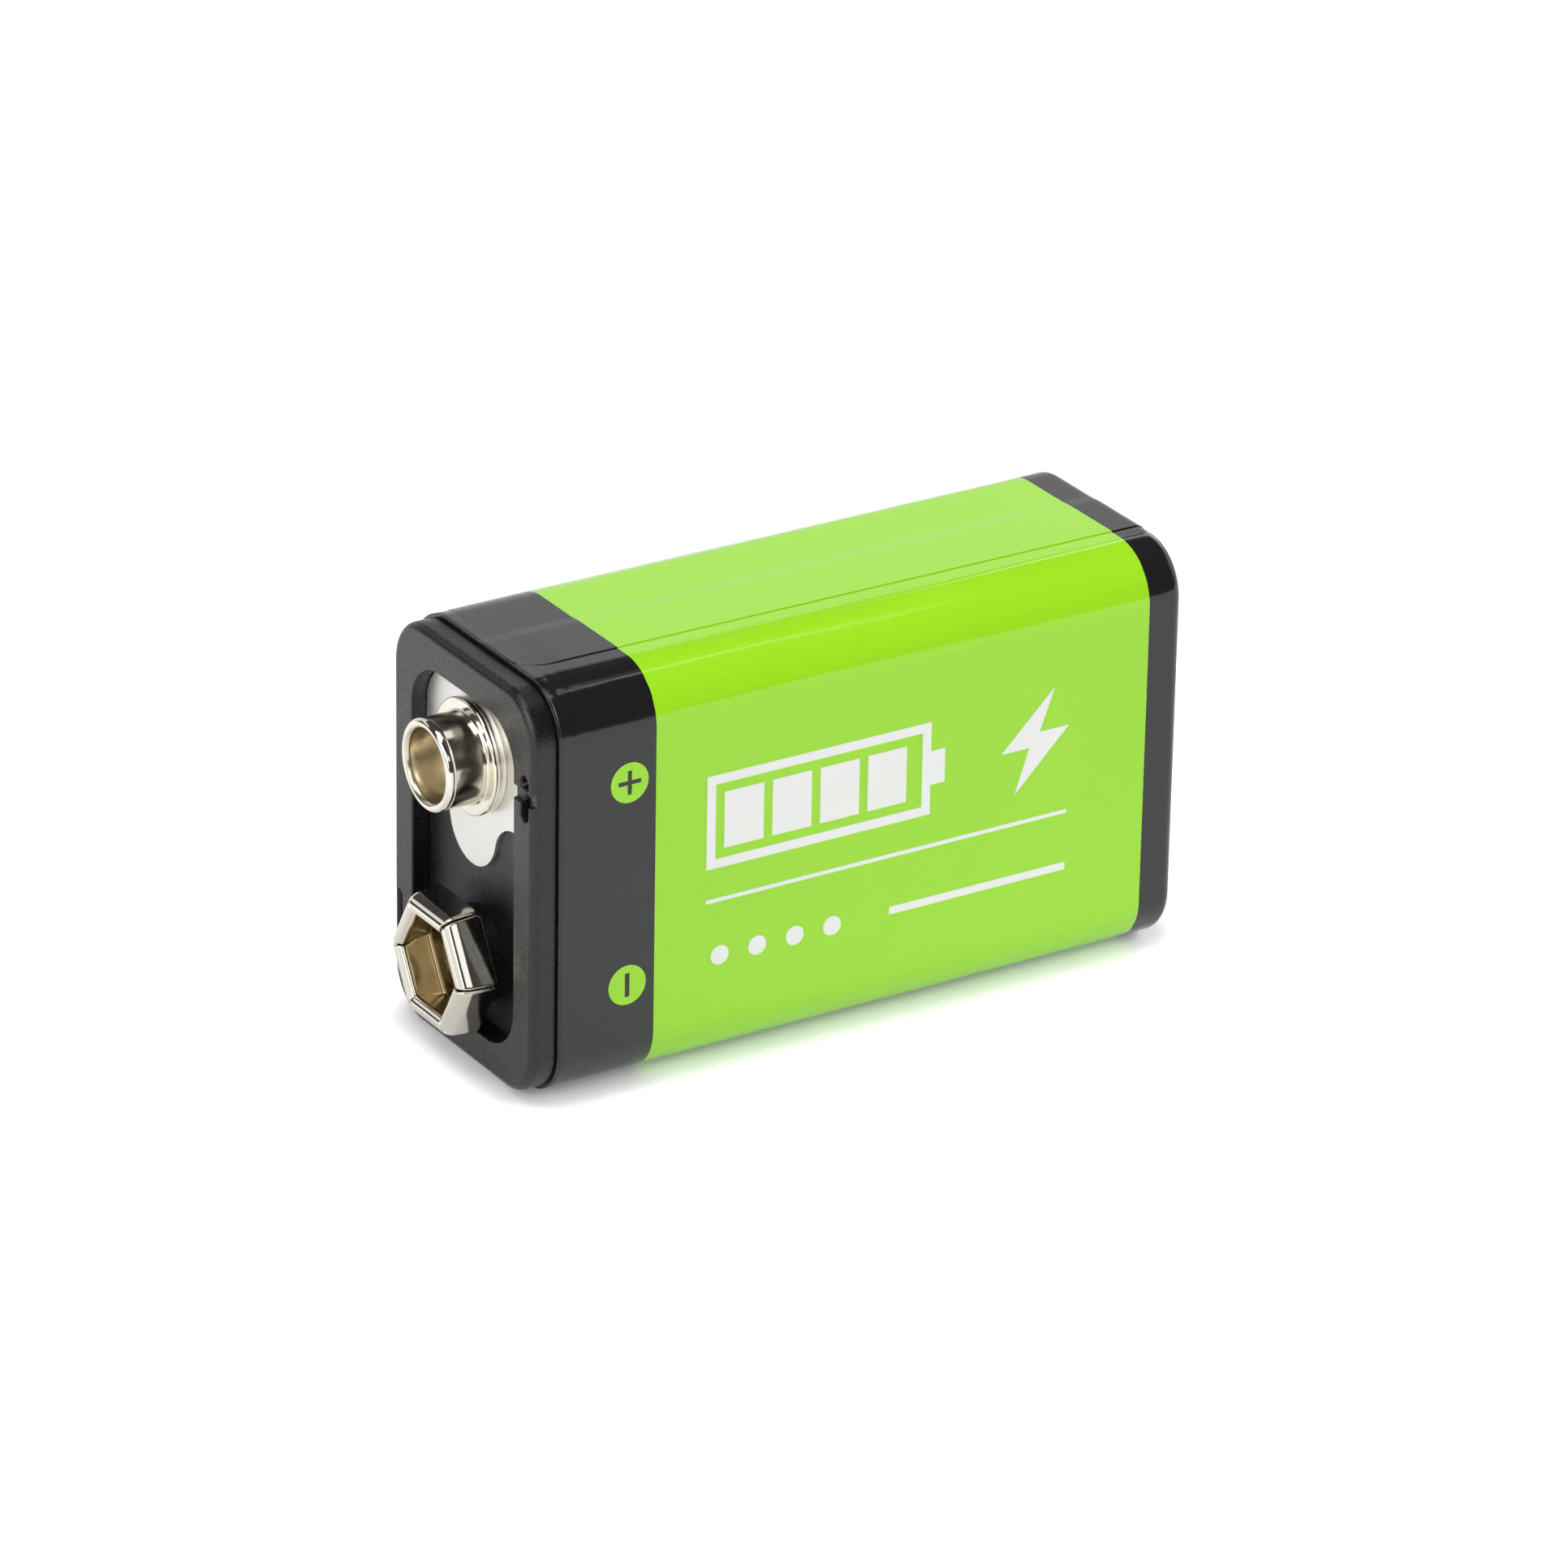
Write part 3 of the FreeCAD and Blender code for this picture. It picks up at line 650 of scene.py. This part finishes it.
# Printed film. A polyester film printed on its back in near black and lime green, wrapped round
# the can with a glued lap on the upper narrow side, and shrunk over both ends.
FILM_X = sleeve_low[0] - 0.12
END_X = sleeve_high[0]
NEAR_BORDER = -13.1
FAR_BORDER = 21.25
LAP = -3.85
LAP_LIFT = 0.065
FILM_THICK = 0.1
SKIN = 0.02  # How deep the film's outside lies in its CAD solid, to leave room for the ink


def lap_place(x):
    """Y of the lap's edge: straight, drifting towards the closed end, and rounded at the mouth."""
    radius, drift, drift_from = 2.2, 0.006, -16
    into = np.clip(FILM_X + radius - x, 0, radius)
    rounding = radius - np.sqrt(np.maximum(radius**2 - into**2, 0))
    return LAP - drift * np.maximum(x - drift_from, 0) + rounding


def waves(a, b, amplitude, length_a, length_b, seed):
    """Smooth irregular waves: the mean of eight sines of seeded lengths, directions and phases."""
    rng = np.random.default_rng(seed)
    total = 0
    for _ in range(8):
        along_a = 2 * math.pi / length_a * rng.uniform(0.6, 1.6)
        along_b = 2 * math.pi / length_b * rng.uniform(0.6, 1.6)
        total = total + np.sin(along_a * a + along_b * b + rng.uniform(0, 2 * math.pi))
    return amplitude * total / 8


def bell(x, middle, width):
    """Bell curve of height 1."""
    return np.exp(-(((x - middle) / width) ** 2))


def film_grid():
    """Closed grid of the film and where painted shade lies along its lap's cut edge. Each row is
    the section pushed out from its corner centres by the corner radius less the row's depth, and
    the lap lifts its top."""
    spine = (HALF_Y - CORNER, HALF_Z - CORNER)
    fan, tenths = 33, (np.arange(10) + 1) / 10
    # Places across the lap's cut edge. The top's columns are ten on the plain film, ten on the
    # ramp up to the lap, sixteen on the lap, one at each of these places, and ten beyond
    across_edge = np.array([0.05, 0.02, 0.006, -0.006, -0.02, -0.05])
    top_steps = 10 + 10 + 16 + len(across_edge) + 10
    broad, narrow = np.linspace(0, 1, 46)[1:-1], np.linspace(0, 1, 22)[1:-1]
    sides = [broad, np.linspace(0, 1, top_steps + 2)[1:-1], broad, narrow]
    starts, ways = around(*spine, sides, fan)
    # The film turns in by a lip at each end, round a sharp edge at the mouth and the can's rounded
    # corner at the closed end, and its rows are finest where it dips behind the mouth
    near_lip, far_lip, edge, turn, bend = 0.6, 2.6, 0.05, 0.8, 0.2
    dip_start, dip_end = -19.2, -17.5
    mouth_x, under = FILM_X + edge, FILM_THICK + SKIN
    outside = np.concatenate(
        [
            between((FILM_X, near_lip), (FILM_X, edge + SKIN), 5),
            arc(mouth_x, edge + SKIN, edge, 180, 270, 6),
            between((mouth_x, SKIN), (dip_start, SKIN), 18),
            between((dip_start, SKIN), (dip_end, SKIN), 26),
            between((dip_end, SKIN), (NEAR_BORDER, SKIN), 20),
            np.array([[NEAR_BORDER, SKIN]]),
            between((NEAR_BORDER, SKIN), (FAR_BORDER, SKIN), 90),
            np.array([[FAR_BORDER, SKIN]]),
            between((FAR_BORDER, SKIN), (END_X - turn, SKIN), 6),
            arc(END_X - turn, turn, turn - SKIN, 270, 360, 14),
            between((END_X - SKIN, turn), (END_X - SKIN, far_lip), 16),
        ]
    )
    inside = np.concatenate(
        [
            between((END_X - under + 0.01, far_lip + 0.02), (END_X - under, turn), 6),
            arc(END_X - turn, turn, turn - under, 360, 270, 8),
            between((END_X - turn, under), (FILM_X + bend, under), 24),
            arc(FILM_X + bend, bend, bend - under, 270, 180, 4),
            between((FILM_X + under, bend), (FILM_X + under, near_lip - 0.02), 3),
        ]
    )
    profile = np.concatenate([outside, inside])
    rows, columns = len(profile), len(starts)
    x = np.repeat(profile[:, :1], columns, 1)
    depth = np.repeat(profile[:, 1:], columns, 1)
    outer = (np.arange(rows) < len(outside))[:, None]

    # The lap lifts the top from a ramp to its cut edge, and the lift fades on both lips
    first = len(broad) + fan
    top = slice(first, first + top_steps)
    lap_y = lap_place(profile[:, :1])
    ramp_start, ramp_end, margin = 1.4, 0.2, across_edge[0]
    plain = spine[0] + (ramp_start - spine[0]) * tenths
    ramp = ramp_start + (ramp_end - ramp_start) * tenths
    lapped = ramp_end + (lap_y + margin - ramp_end) * (np.arange(16) + 1) / 17
    beyond = lap_y - margin + (-spine[0] - lap_y + margin) * (np.arange(10) + 1) / 11
    level = np.zeros((rows, 1))
    y_top = np.concatenate([level + plain, level + ramp, lapped, lap_y + across_edge, beyond], 1)
    step = [1, 1, 0.97, 0.03, 0, 0]
    lift = np.concatenate([np.zeros(10), smooth(tenths), np.ones(16), step, np.zeros(10)])
    origin = np.repeat(starts[None], rows, 0)
    origin[:, top, 0] = y_top
    raised = np.zeros((rows, columns))
    near_end = smooth((1.6 - profile[:, 1:]) / 0.8) * (profile[:, :1] > 0)
    near_mouth = smooth((0.3 - profile[:, 1:]) / 0.2) * (profile[:, :1] <= 0)
    raised[:, top] = lift * outer * (near_end + near_mouth)

    # Along the four long corners the film pulls in unevenly, in waves from 1.5 to 70 mm long
    section = starts + (CORNER - SKIN) * ways
    run = np.cumsum(np.hypot(*(section - np.roll(section, 1, 0)).T))[None]
    corner = (np.abs(ways) > 1e-6).all(1).astype(float)
    corner = np.concatenate([corner[-6:], corner, corner[:6]])
    corner = np.convolve(corner, np.ones(13) / 13, "valid")
    body_start, body_end, blend = -19.15, 22.9, 0.8
    body = smooth((x - body_start) / blend) * smooth((body_end - x) / blend) * outer
    folds = waves(x, run, 0.012, 14.0, 4.5, 3) + waves(x, run, 0.004, 3.0, 2.5, 8)
    folds = folds + waves(x, run, 0.028, 70.0, 1.5, 21)
    depth = depth + body * corner * (0.008 + folds)
    # Behind the mouth it creases over the cap's flange and sags twice, most at the corners
    crease_x, sag_x, next_sag_x = -19.44, -18.75, -17.9
    mouth = outer * (depth < 0.3)
    uneven = 1 + waves(run, x, 1.6, 7.0, 90.0, 5)
    crease = 0.05 * bell(x, crease_x + waves(run, 0 * x, 0.03, 5.0, 1.0, 12), 0.03)
    sag = 0.022 * bell(x, sag_x, 0.28) * uneven
    sag = sag + 0.012 * bell(x, next_sag_x, 0.4) * (2 - uneven)
    depth = depth + mouth * (crease + sag * (0.35 + 0.65 * corner))
    # Its cut mouth is wavy, and its lip at the closed end puckers round the corners
    x = x + mouth * bell(x, FILM_X, 0.1) * np.abs(waves(run, 0 * x, 0.03, 4.0, 1.0, 6))
    lip = outer * (x > END_X - 0.2) * smooth((depth - turn) / 1.8)
    x = x - lip * (0.02 + 0.05 * corner * (1 + np.sin(run * 2.4)) / 2)

    # The lap lies half as high near the mouth, and the painted shade along its cut edge shows only
    # behind that
    pressed_from, edge_from = -16.6, -17.9
    flat = origin + (CORNER - depth)[..., None] * ways
    pressed = 0.5 * smooth((pressed_from - x) / 1.5) * (x < 0)
    z = flat[..., 1] + MID_Z + LAP_LIFT * raised * (1 - pressed)
    # Painted shade along the lap's cut edge: a mark on the two columns at its step
    edge_shade = np.zeros((rows, columns))
    edge_at = first + 10 + 10 + 16 + 2
    edge_shade[:, edge_at : edge_at + 2] = outer * smooth((profile[:, :1] - edge_from) / 1.2)
    return np.stack([x, flat[..., 0], z], -1), edge_shade


def printed_gloss(name, bands):
    """Back-printed polyester film: even ink under a clear gloss, with the soft waves 8 mm long
    that shrinking leaves, orange peel 0.8 mm across, and painted shade along the lap's cut edge."""
    material, tree, place = new_finish(name)
    tone = add(tree, "TexNoise", {"Vector": place, "Scale": 0.12, "Detail": 2.0})
    printed = add(tree, "ValToRGB", {0: tone}, bands=bands)
    # The lap's cut edge is darkened to 70 per cent by painted shade
    edge_shade = add(tree, "Attribute", attribute_name="lap_edge_shade")
    shade = add(tree, "MapRange", {"Value": edge_shade.outputs["Fac"], "To Min": 1.0, "To Max": 0.7})
    colour = add(tree, "VectorMath", {0: printed, "Scale": shade}, operation="SCALE")
    stretched = add(tree, "Mapping", {0: place, "Scale": (0.05, 0.13, 0.13)})
    swell = add(tree, "TexNoise", {"Vector": stretched, "Scale": 1.0, "Detail": 1.0})
    peel = add(tree, "TexNoise", {"Vector": place, "Scale": 1.2, "Detail": 2.0})
    rough = add(tree, "MapRange", {"Value": tone, **NOISE_SPAN, "To Min": 0.11, "To Max": 0.15})
    soft = add(tree, "Bump", {"Height": swell, "Distance": 0.03 * MM})
    bump = add(tree, "Bump", {"Height": peel, "Distance": 0.0012 * MM, "Normal": soft})
    finish = {"Base Color": colour, "Roughness": rough, "Normal": bump, "IOR": 1.6}
    add(tree, "OutputMaterial", {"Surface": add(tree, "BsdfPrincipled", finish)})
    return material


black_print = printed_gloss("near_black_print_under_film", ("#1A1A1D", "#1C1C1F", "#1E1E21"))
green_print = printed_gloss("lime_print_under_film", ("#A2E820", "#A5EB24", "#A8ED28"))
white_print = printed_gloss("white_print_under_film", ("#FAFBF9", "#FCFCFB", "#FEFEFD"))

film_points, lap_edge_shade = film_grid()
film_mesh = closed_mesh("shrunk_film", film_points, black_print, green_print)
# The painted shade along the lap's cut edge goes with the mesh as a point attribute
film_mesh.attributes.new("lap_edge_shade", "FLOAT", "POINT").data.foreach_set("value", lap_edge_shade.ravel())
face_x = film_points[..., 0]
middle_x = (face_x + np.roll(face_x, -1, 0)) / 2
is_green = (middle_x > NEAR_BORDER) & (middle_x < FAR_BORDER)
film_mesh.polygons.foreach_set("material_index", is_green.astype(np.int32).ravel())
join("shrunk_film", film_mesh, "printed_sleeve")


# Print on the broad face: a green disc with a plus and one with a minus beside the terminals, and
# plain white signs for charge, each a layer of ink 4 micrometres thick.
INK_Y = SKIN - HALF_Y


def ink(name, outlines, material, layer=1):
    """Flat ink from closed outlines of (x, z) that run anticlockwise as seen from the front, each
    one face, standing off by its layer."""
    points, faces = [], []
    for outline in outlines:
        faces.append(list(range(len(points), len(points) + len(outline))))
        points += [(x * MM, (INK_Y - 0.004 * layer) * MM, z * MM) for x, z in outline]
    mesh = bpy.data.meshes.new(name)
    mesh.from_pydata(points, [], faces)
    mesh.materials.append(material)
    join(name, mesh)


def disc(x, z, radius):
    """Outline of a disc: 72 points evenly spaced in angle."""
    angle = np.linspace(0, 2 * math.pi, 72, endpoint=False)
    return np.stack([x + radius * np.cos(angle), z + radius * np.sin(angle)], 1).tolist()


def block(x0, x1, z0, z1):
    """Outline of an upright rectangle."""
    return [(x0, z0), (x1, z0), (x1, z1), (x0, z1)]


plus_x, plus_z = -14.88, 19.8
minus_x, minus_z = -14.93, 6.8
sign_disc, arm, half, minus_half = 1.27, 0.76, 0.135, 0.155
ink("plus_disc", [disc(plus_x, plus_z, sign_disc)], green_print)
ink("minus_disc", [disc(minus_x, minus_z, sign_disc)], green_print)
plus = [(-half, -arm), (half, -arm), (half, -half), (arm, -half), (arm, half), (half, half)]
plus += [(-x, -z) for x, z in plus]
minus = block(minus_x - minus_half, minus_x + minus_half, minus_z - arm, minus_z + arm)
ink("plus_sign", [[(plus_x + x, plus_z + z) for x, z in plus]], black_print, 2)
ink("minus_sign", [minus], black_print, 2)

# The gauge is a frame with a tip and four bars. Under it and the bolt are two rules and four dots
left, right, low, high, line = -9.6, 5.9, 12.9, 18.9, 0.6
rules_end = 15.7
gauge = [
    block(left, right, high - line, high),
    block(left, right, low, low + line),
    block(left, left + line, low + line, high - line),
    block(right - line, right, low + line, high - line),
    block(right, right + 1.0, low + 1.9, high - 1.9),
]
bars = [left + 2 * line + 3.3 * bar for bar in range(4)]
gauge += [block(x, x + 2.7, low + 2 * line, high - 2 * line) for x in bars]
ink("charge_gauge", gauge, white_print)
bolt = [(14.6, 19.2), (10.9, 15.6), (12.9, 15.6), (11.9, 12.7), (15.7, 16.5), (13.6, 16.5)]
ink("charge_bolt", [bolt], white_print)
ink("thin_rule", [block(left, rules_end, 10.7, 10.95)], white_print)
dots = [disc(left + 1.0 + 2.6 * dot, 7.2, 0.62) for dot in range(4)]
ink("small_marks", [*dots, block(3.2, rules_end, 6.95, 7.45)], white_print)


# Studio. A white paper floor under soft lamps, screens that only show in reflections, and the
# camera where the photographer's was.
def studio_white():
    """White paper floor, seen by the camera and in reflections with a little light of its own, so
    that it comes out white, and with more of it to the left, where the lamps reach less. The
    camera's part grows with the distance from a rectangle inside the battery's foot, which rounds
    its corners, so that the shadow stays next to the foot."""
    foot_middle, core_half = (1.3, 0, 0), (19.85, 5.4, 0)
    shadow_edge = {"From Min": 2.5, "From Max": 4.7, "To Max": 0.45}
    leftward = {"From Min": -18.0, "From Max": -60.0, "To Min": 0.17, "To Max": 0.42}
    material, tree, place = new_finish("white_paper_floor")
    fibre = add(tree, "TexNoise", {"Vector": place, "Scale": 0.8, "Detail": 3.0})
    colour = add(tree, "ValToRGB", {0: fibre}, bands=("#EEEEEE", "#F0F0F0", "#F2F2F2"))
    paper = add(tree, "BsdfDiffuse", {"Color": colour})
    rays = add(tree, "LightPath").outputs
    seen = add(tree, "Math", {0: rays["Is Camera Ray"], 1: rays["Is Glossy Ray"]}, operation="ADD")
    outward = add(tree, "VectorMath", {0: place, 1: foot_middle}, operation="SUBTRACT")
    outward = add(tree, "VectorMath", {0: outward}, operation="ABSOLUTE")
    outward = add(tree, "VectorMath", {0: outward, 1: core_half}, operation="SUBTRACT")
    outward = add(tree, "VectorMath", {0: outward, 1: (0, 0, 0)}, operation="MAXIMUM")
    away = add(tree, "VectorMath", {0: outward}, operation="LENGTH").outputs["Value"]
    beyond = {"Value": away, **shadow_edge}
    clear = add(tree, "MapRange", beyond, interpolation_type="SMOOTHSTEP")
    clear = add(tree, "Math", {0: clear, 1: rays["Is Camera Ray"]}, operation="MULTIPLY")
    across = add(tree, "SeparateXYZ", {0: place}).outputs["X"]
    rise = add(tree, "MapRange", {"Value": across, **leftward})
    level = add(tree, "Math", {0: seen, 1: rise}, operation="MULTIPLY")
    level = add(tree, "Math", {0: level, 1: clear}, operation="ADD")
    glow = add(tree, "Emission", {"Color": (1, 1, 1, 1), "Strength": level})
    add(tree, "OutputMaterial", {"Surface": add(tree, "AddShader", {0: paper, 1: glow})})
    return material


def studio_card(name, places, material):
    """Flat four-cornered piece of studio scenery, with its corners in metres."""
    mesh = bpy.data.meshes.new(name)
    mesh.from_pydata(places, [], [(0, 1, 2, 3)])
    mesh.materials.append(material)
    piece = bpy.data.objects.new(name, mesh)
    bpy.context.collection.objects.link(piece)
    return piece


def glowing(name, strength):
    """White screen that shows only in reflections."""
    material, tree, _ = new_finish(name)
    seen = add(tree, "LightPath").outputs["Is Glossy Ray"]
    level = add(tree, "Math", {0: seen, 1: strength}, operation="MULTIPLY")
    glow = add(tree, "Emission", {"Color": (1, 1, 1, 1), "Strength": level})
    add(tree, "OutputMaterial", {"Surface": glow})
    return material


floor_half = 1.5
signs = ((-1, -1), (1, -1), (1, 1), (-1, 1))
floor_places = [(x * floor_half, y * floor_half, 0) for x, y in signs]
studio_card("floor", floor_places, studio_white())
# The screens stand out of the lamps' way. The back pair shows in the upper narrow side, the left
# and front ones in the cap and the terminals, the high one in the long corner, and the small
# bright one as the streak along it. The right one stands for the right lamps
back_white = glowing("white_back_screen", 0.85)
screens = [
    studio_card(
        "back_screen",
        [(-0.3, 0.9, 0.0), (1.3, 0.9, 0.0), (1.3, 0.9, 0.62), (-0.3, 0.9, 0.62)],
        back_white,
    ),
    studio_card(
        "back_left_screen",
        [(-0.9, 0.9, 0.36), (-0.3, 0.9, 0.36), (-0.3, 0.9, 0.75), (-0.9, 0.9, 0.75)],
        back_white,
    ),
    studio_card(
        "left_screen",
        [(-0.95, 0.35, 0.02), (-0.62, -0.62, 0.02), (-0.62, -0.62, 0.36), (-0.95, 0.35, 0.36)],
        glowing("white_left_screen", 0.9),
    ),
    studio_card(
        "front_screen",
        [(-0.3, -0.62, 0.33), (0.06, -0.66, 0.33), (0.06, -0.64, 0.5), (-0.3, -0.6, 0.5)],
        glowing("white_front_screen", 1.2),
    ),
    studio_card(
        "high_screen",
        [(-0.05, -0.16, 0.86), (0.43, -0.16, 0.86), (0.43, 0.16, 0.86), (-0.05, 0.16, 0.86)],
        glowing("white_high_screen", 1.1),
    ),
    studio_card(
        "streak_screen",
        [(0.34, -0.08, 0.865), (0.463, -0.08, 0.865), (0.463, -0.02, 0.865), (0.34, -0.02, 0.865)],
        glowing("white_streak_screen", 6.0),
    ),
    studio_card(
        "right_screen",
        [(1.35, -0.72, 0.14), (1.35, 0.5, 0.14), (1.35, 0.5, 1.08), (1.35, -0.72, 1.08)],
        glowing("white_right_screen", 1.0),
    ),
]
for screen in screens:
    screen.visible_camera = False


LAMPS_AIM = (0, 0, 0.013)


def softbox(name, place, width, depth, power):
    """Rectangular area lamp at a place in metres, facing the object."""
    lamp = bpy.data.lights.new(name, "AREA")
    lamp.shape = "RECTANGLE"
    lamp.size, lamp.size_y = width, depth
    lamp.energy = power
    back = np.array(place) - LAMPS_AIM
    back /= np.linalg.norm(back)
    right = np.cross((0, 0, 1), back)
    right /= np.linalg.norm(right)
    piece = bpy.data.objects.new(name, lamp)
    bpy.context.collection.objects.link(piece)
    piece.matrix_world = Matrix(np.stack([right, np.cross(back, right), back], 1).tolist()).to_4x4()
    piece.location = place
    return piece


softbox("left_box", (-0.85, -0.1, 0.52), 0.6, 0.6, 3.2)
softbox("left_front_box", (-0.78, -0.48, 0.4), 0.6, 0.6, 4.7)
right_lamps = [
    softbox("right_box", (0.92, 0.0, 0.46), 0.8, 0.8, 6.6),
    softbox("right_front_box", (0.88, -0.38, 0.4), 0.6, 0.6, 7.0),
]
# These two don't show in reflections themselves, where they would bleach gloss seen along them
for lamp in right_lamps:
    lamp.visible_glossy = False
softbox("right_back_box", (0.75, 0.5, 0.43), 0.5, 0.5, 1.5)
softbox("high_box", (-0.3, 0.0, 0.95), 0.5, 0.5, 2.4)

# The surroundings are white to the camera, faint in reflections, and give no light
world = bpy.data.worlds.new("studio")
bpy.context.scene.world = world
world.use_nodes = True
tree = world.node_tree
tree.nodes.clear()
rays = add(tree, "LightPath").outputs
dim = add(tree, "Math", {0: rays["Is Glossy Ray"], 1: 0.06}, operation="MULTIPLY")
level = add(tree, "Math", {0: rays["Is Camera Ray"], 1: dim}, operation="MAXIMUM")
sky = add(tree, "Background", {"Color": (1, 1, 1, 1), "Strength": level})
add(tree, "OutputWorld", {"Surface": sky})

# The camera was fitted to the edges of the body in the photograph: its place in mm, then its turn
# about the vertical, its climb and its roll in degrees
camera_at = (-251.771, -396.763, 231.847)
turn, climb, roll = (math.radians(value) for value in (-32.497, 24.983, 1.047))
away = (math.sin(turn), -math.cos(turn))
back = np.array([away[0] * math.cos(climb), away[1] * math.cos(climb), math.sin(climb)])
level_right = np.cross((0, 0, 1), back)
level_right /= np.linalg.norm(level_right)
level_up = np.cross(back, level_right)
right = level_right * math.cos(roll) + level_up * math.sin(roll)
up = level_up * math.cos(roll) - level_right * math.sin(roll)
camera_data = bpy.data.cameras.new("camera")
camera_data.lens = 199.835
camera_data.sensor_width = 36
camera_data.sensor_fit = "HORIZONTAL"
camera_data.clip_start = 0.01
camera_data.clip_end = 20
camera = bpy.data.objects.new("camera", camera_data)
bpy.context.collection.objects.link(camera)
camera.matrix_world = Matrix(np.stack([right, up, back], 1).tolist()).to_4x4()
camera.location = np.array(camera_at) * MM
bpy.context.scene.camera = camera
bpy.context.scene.view_settings.view_transform = "Standard"
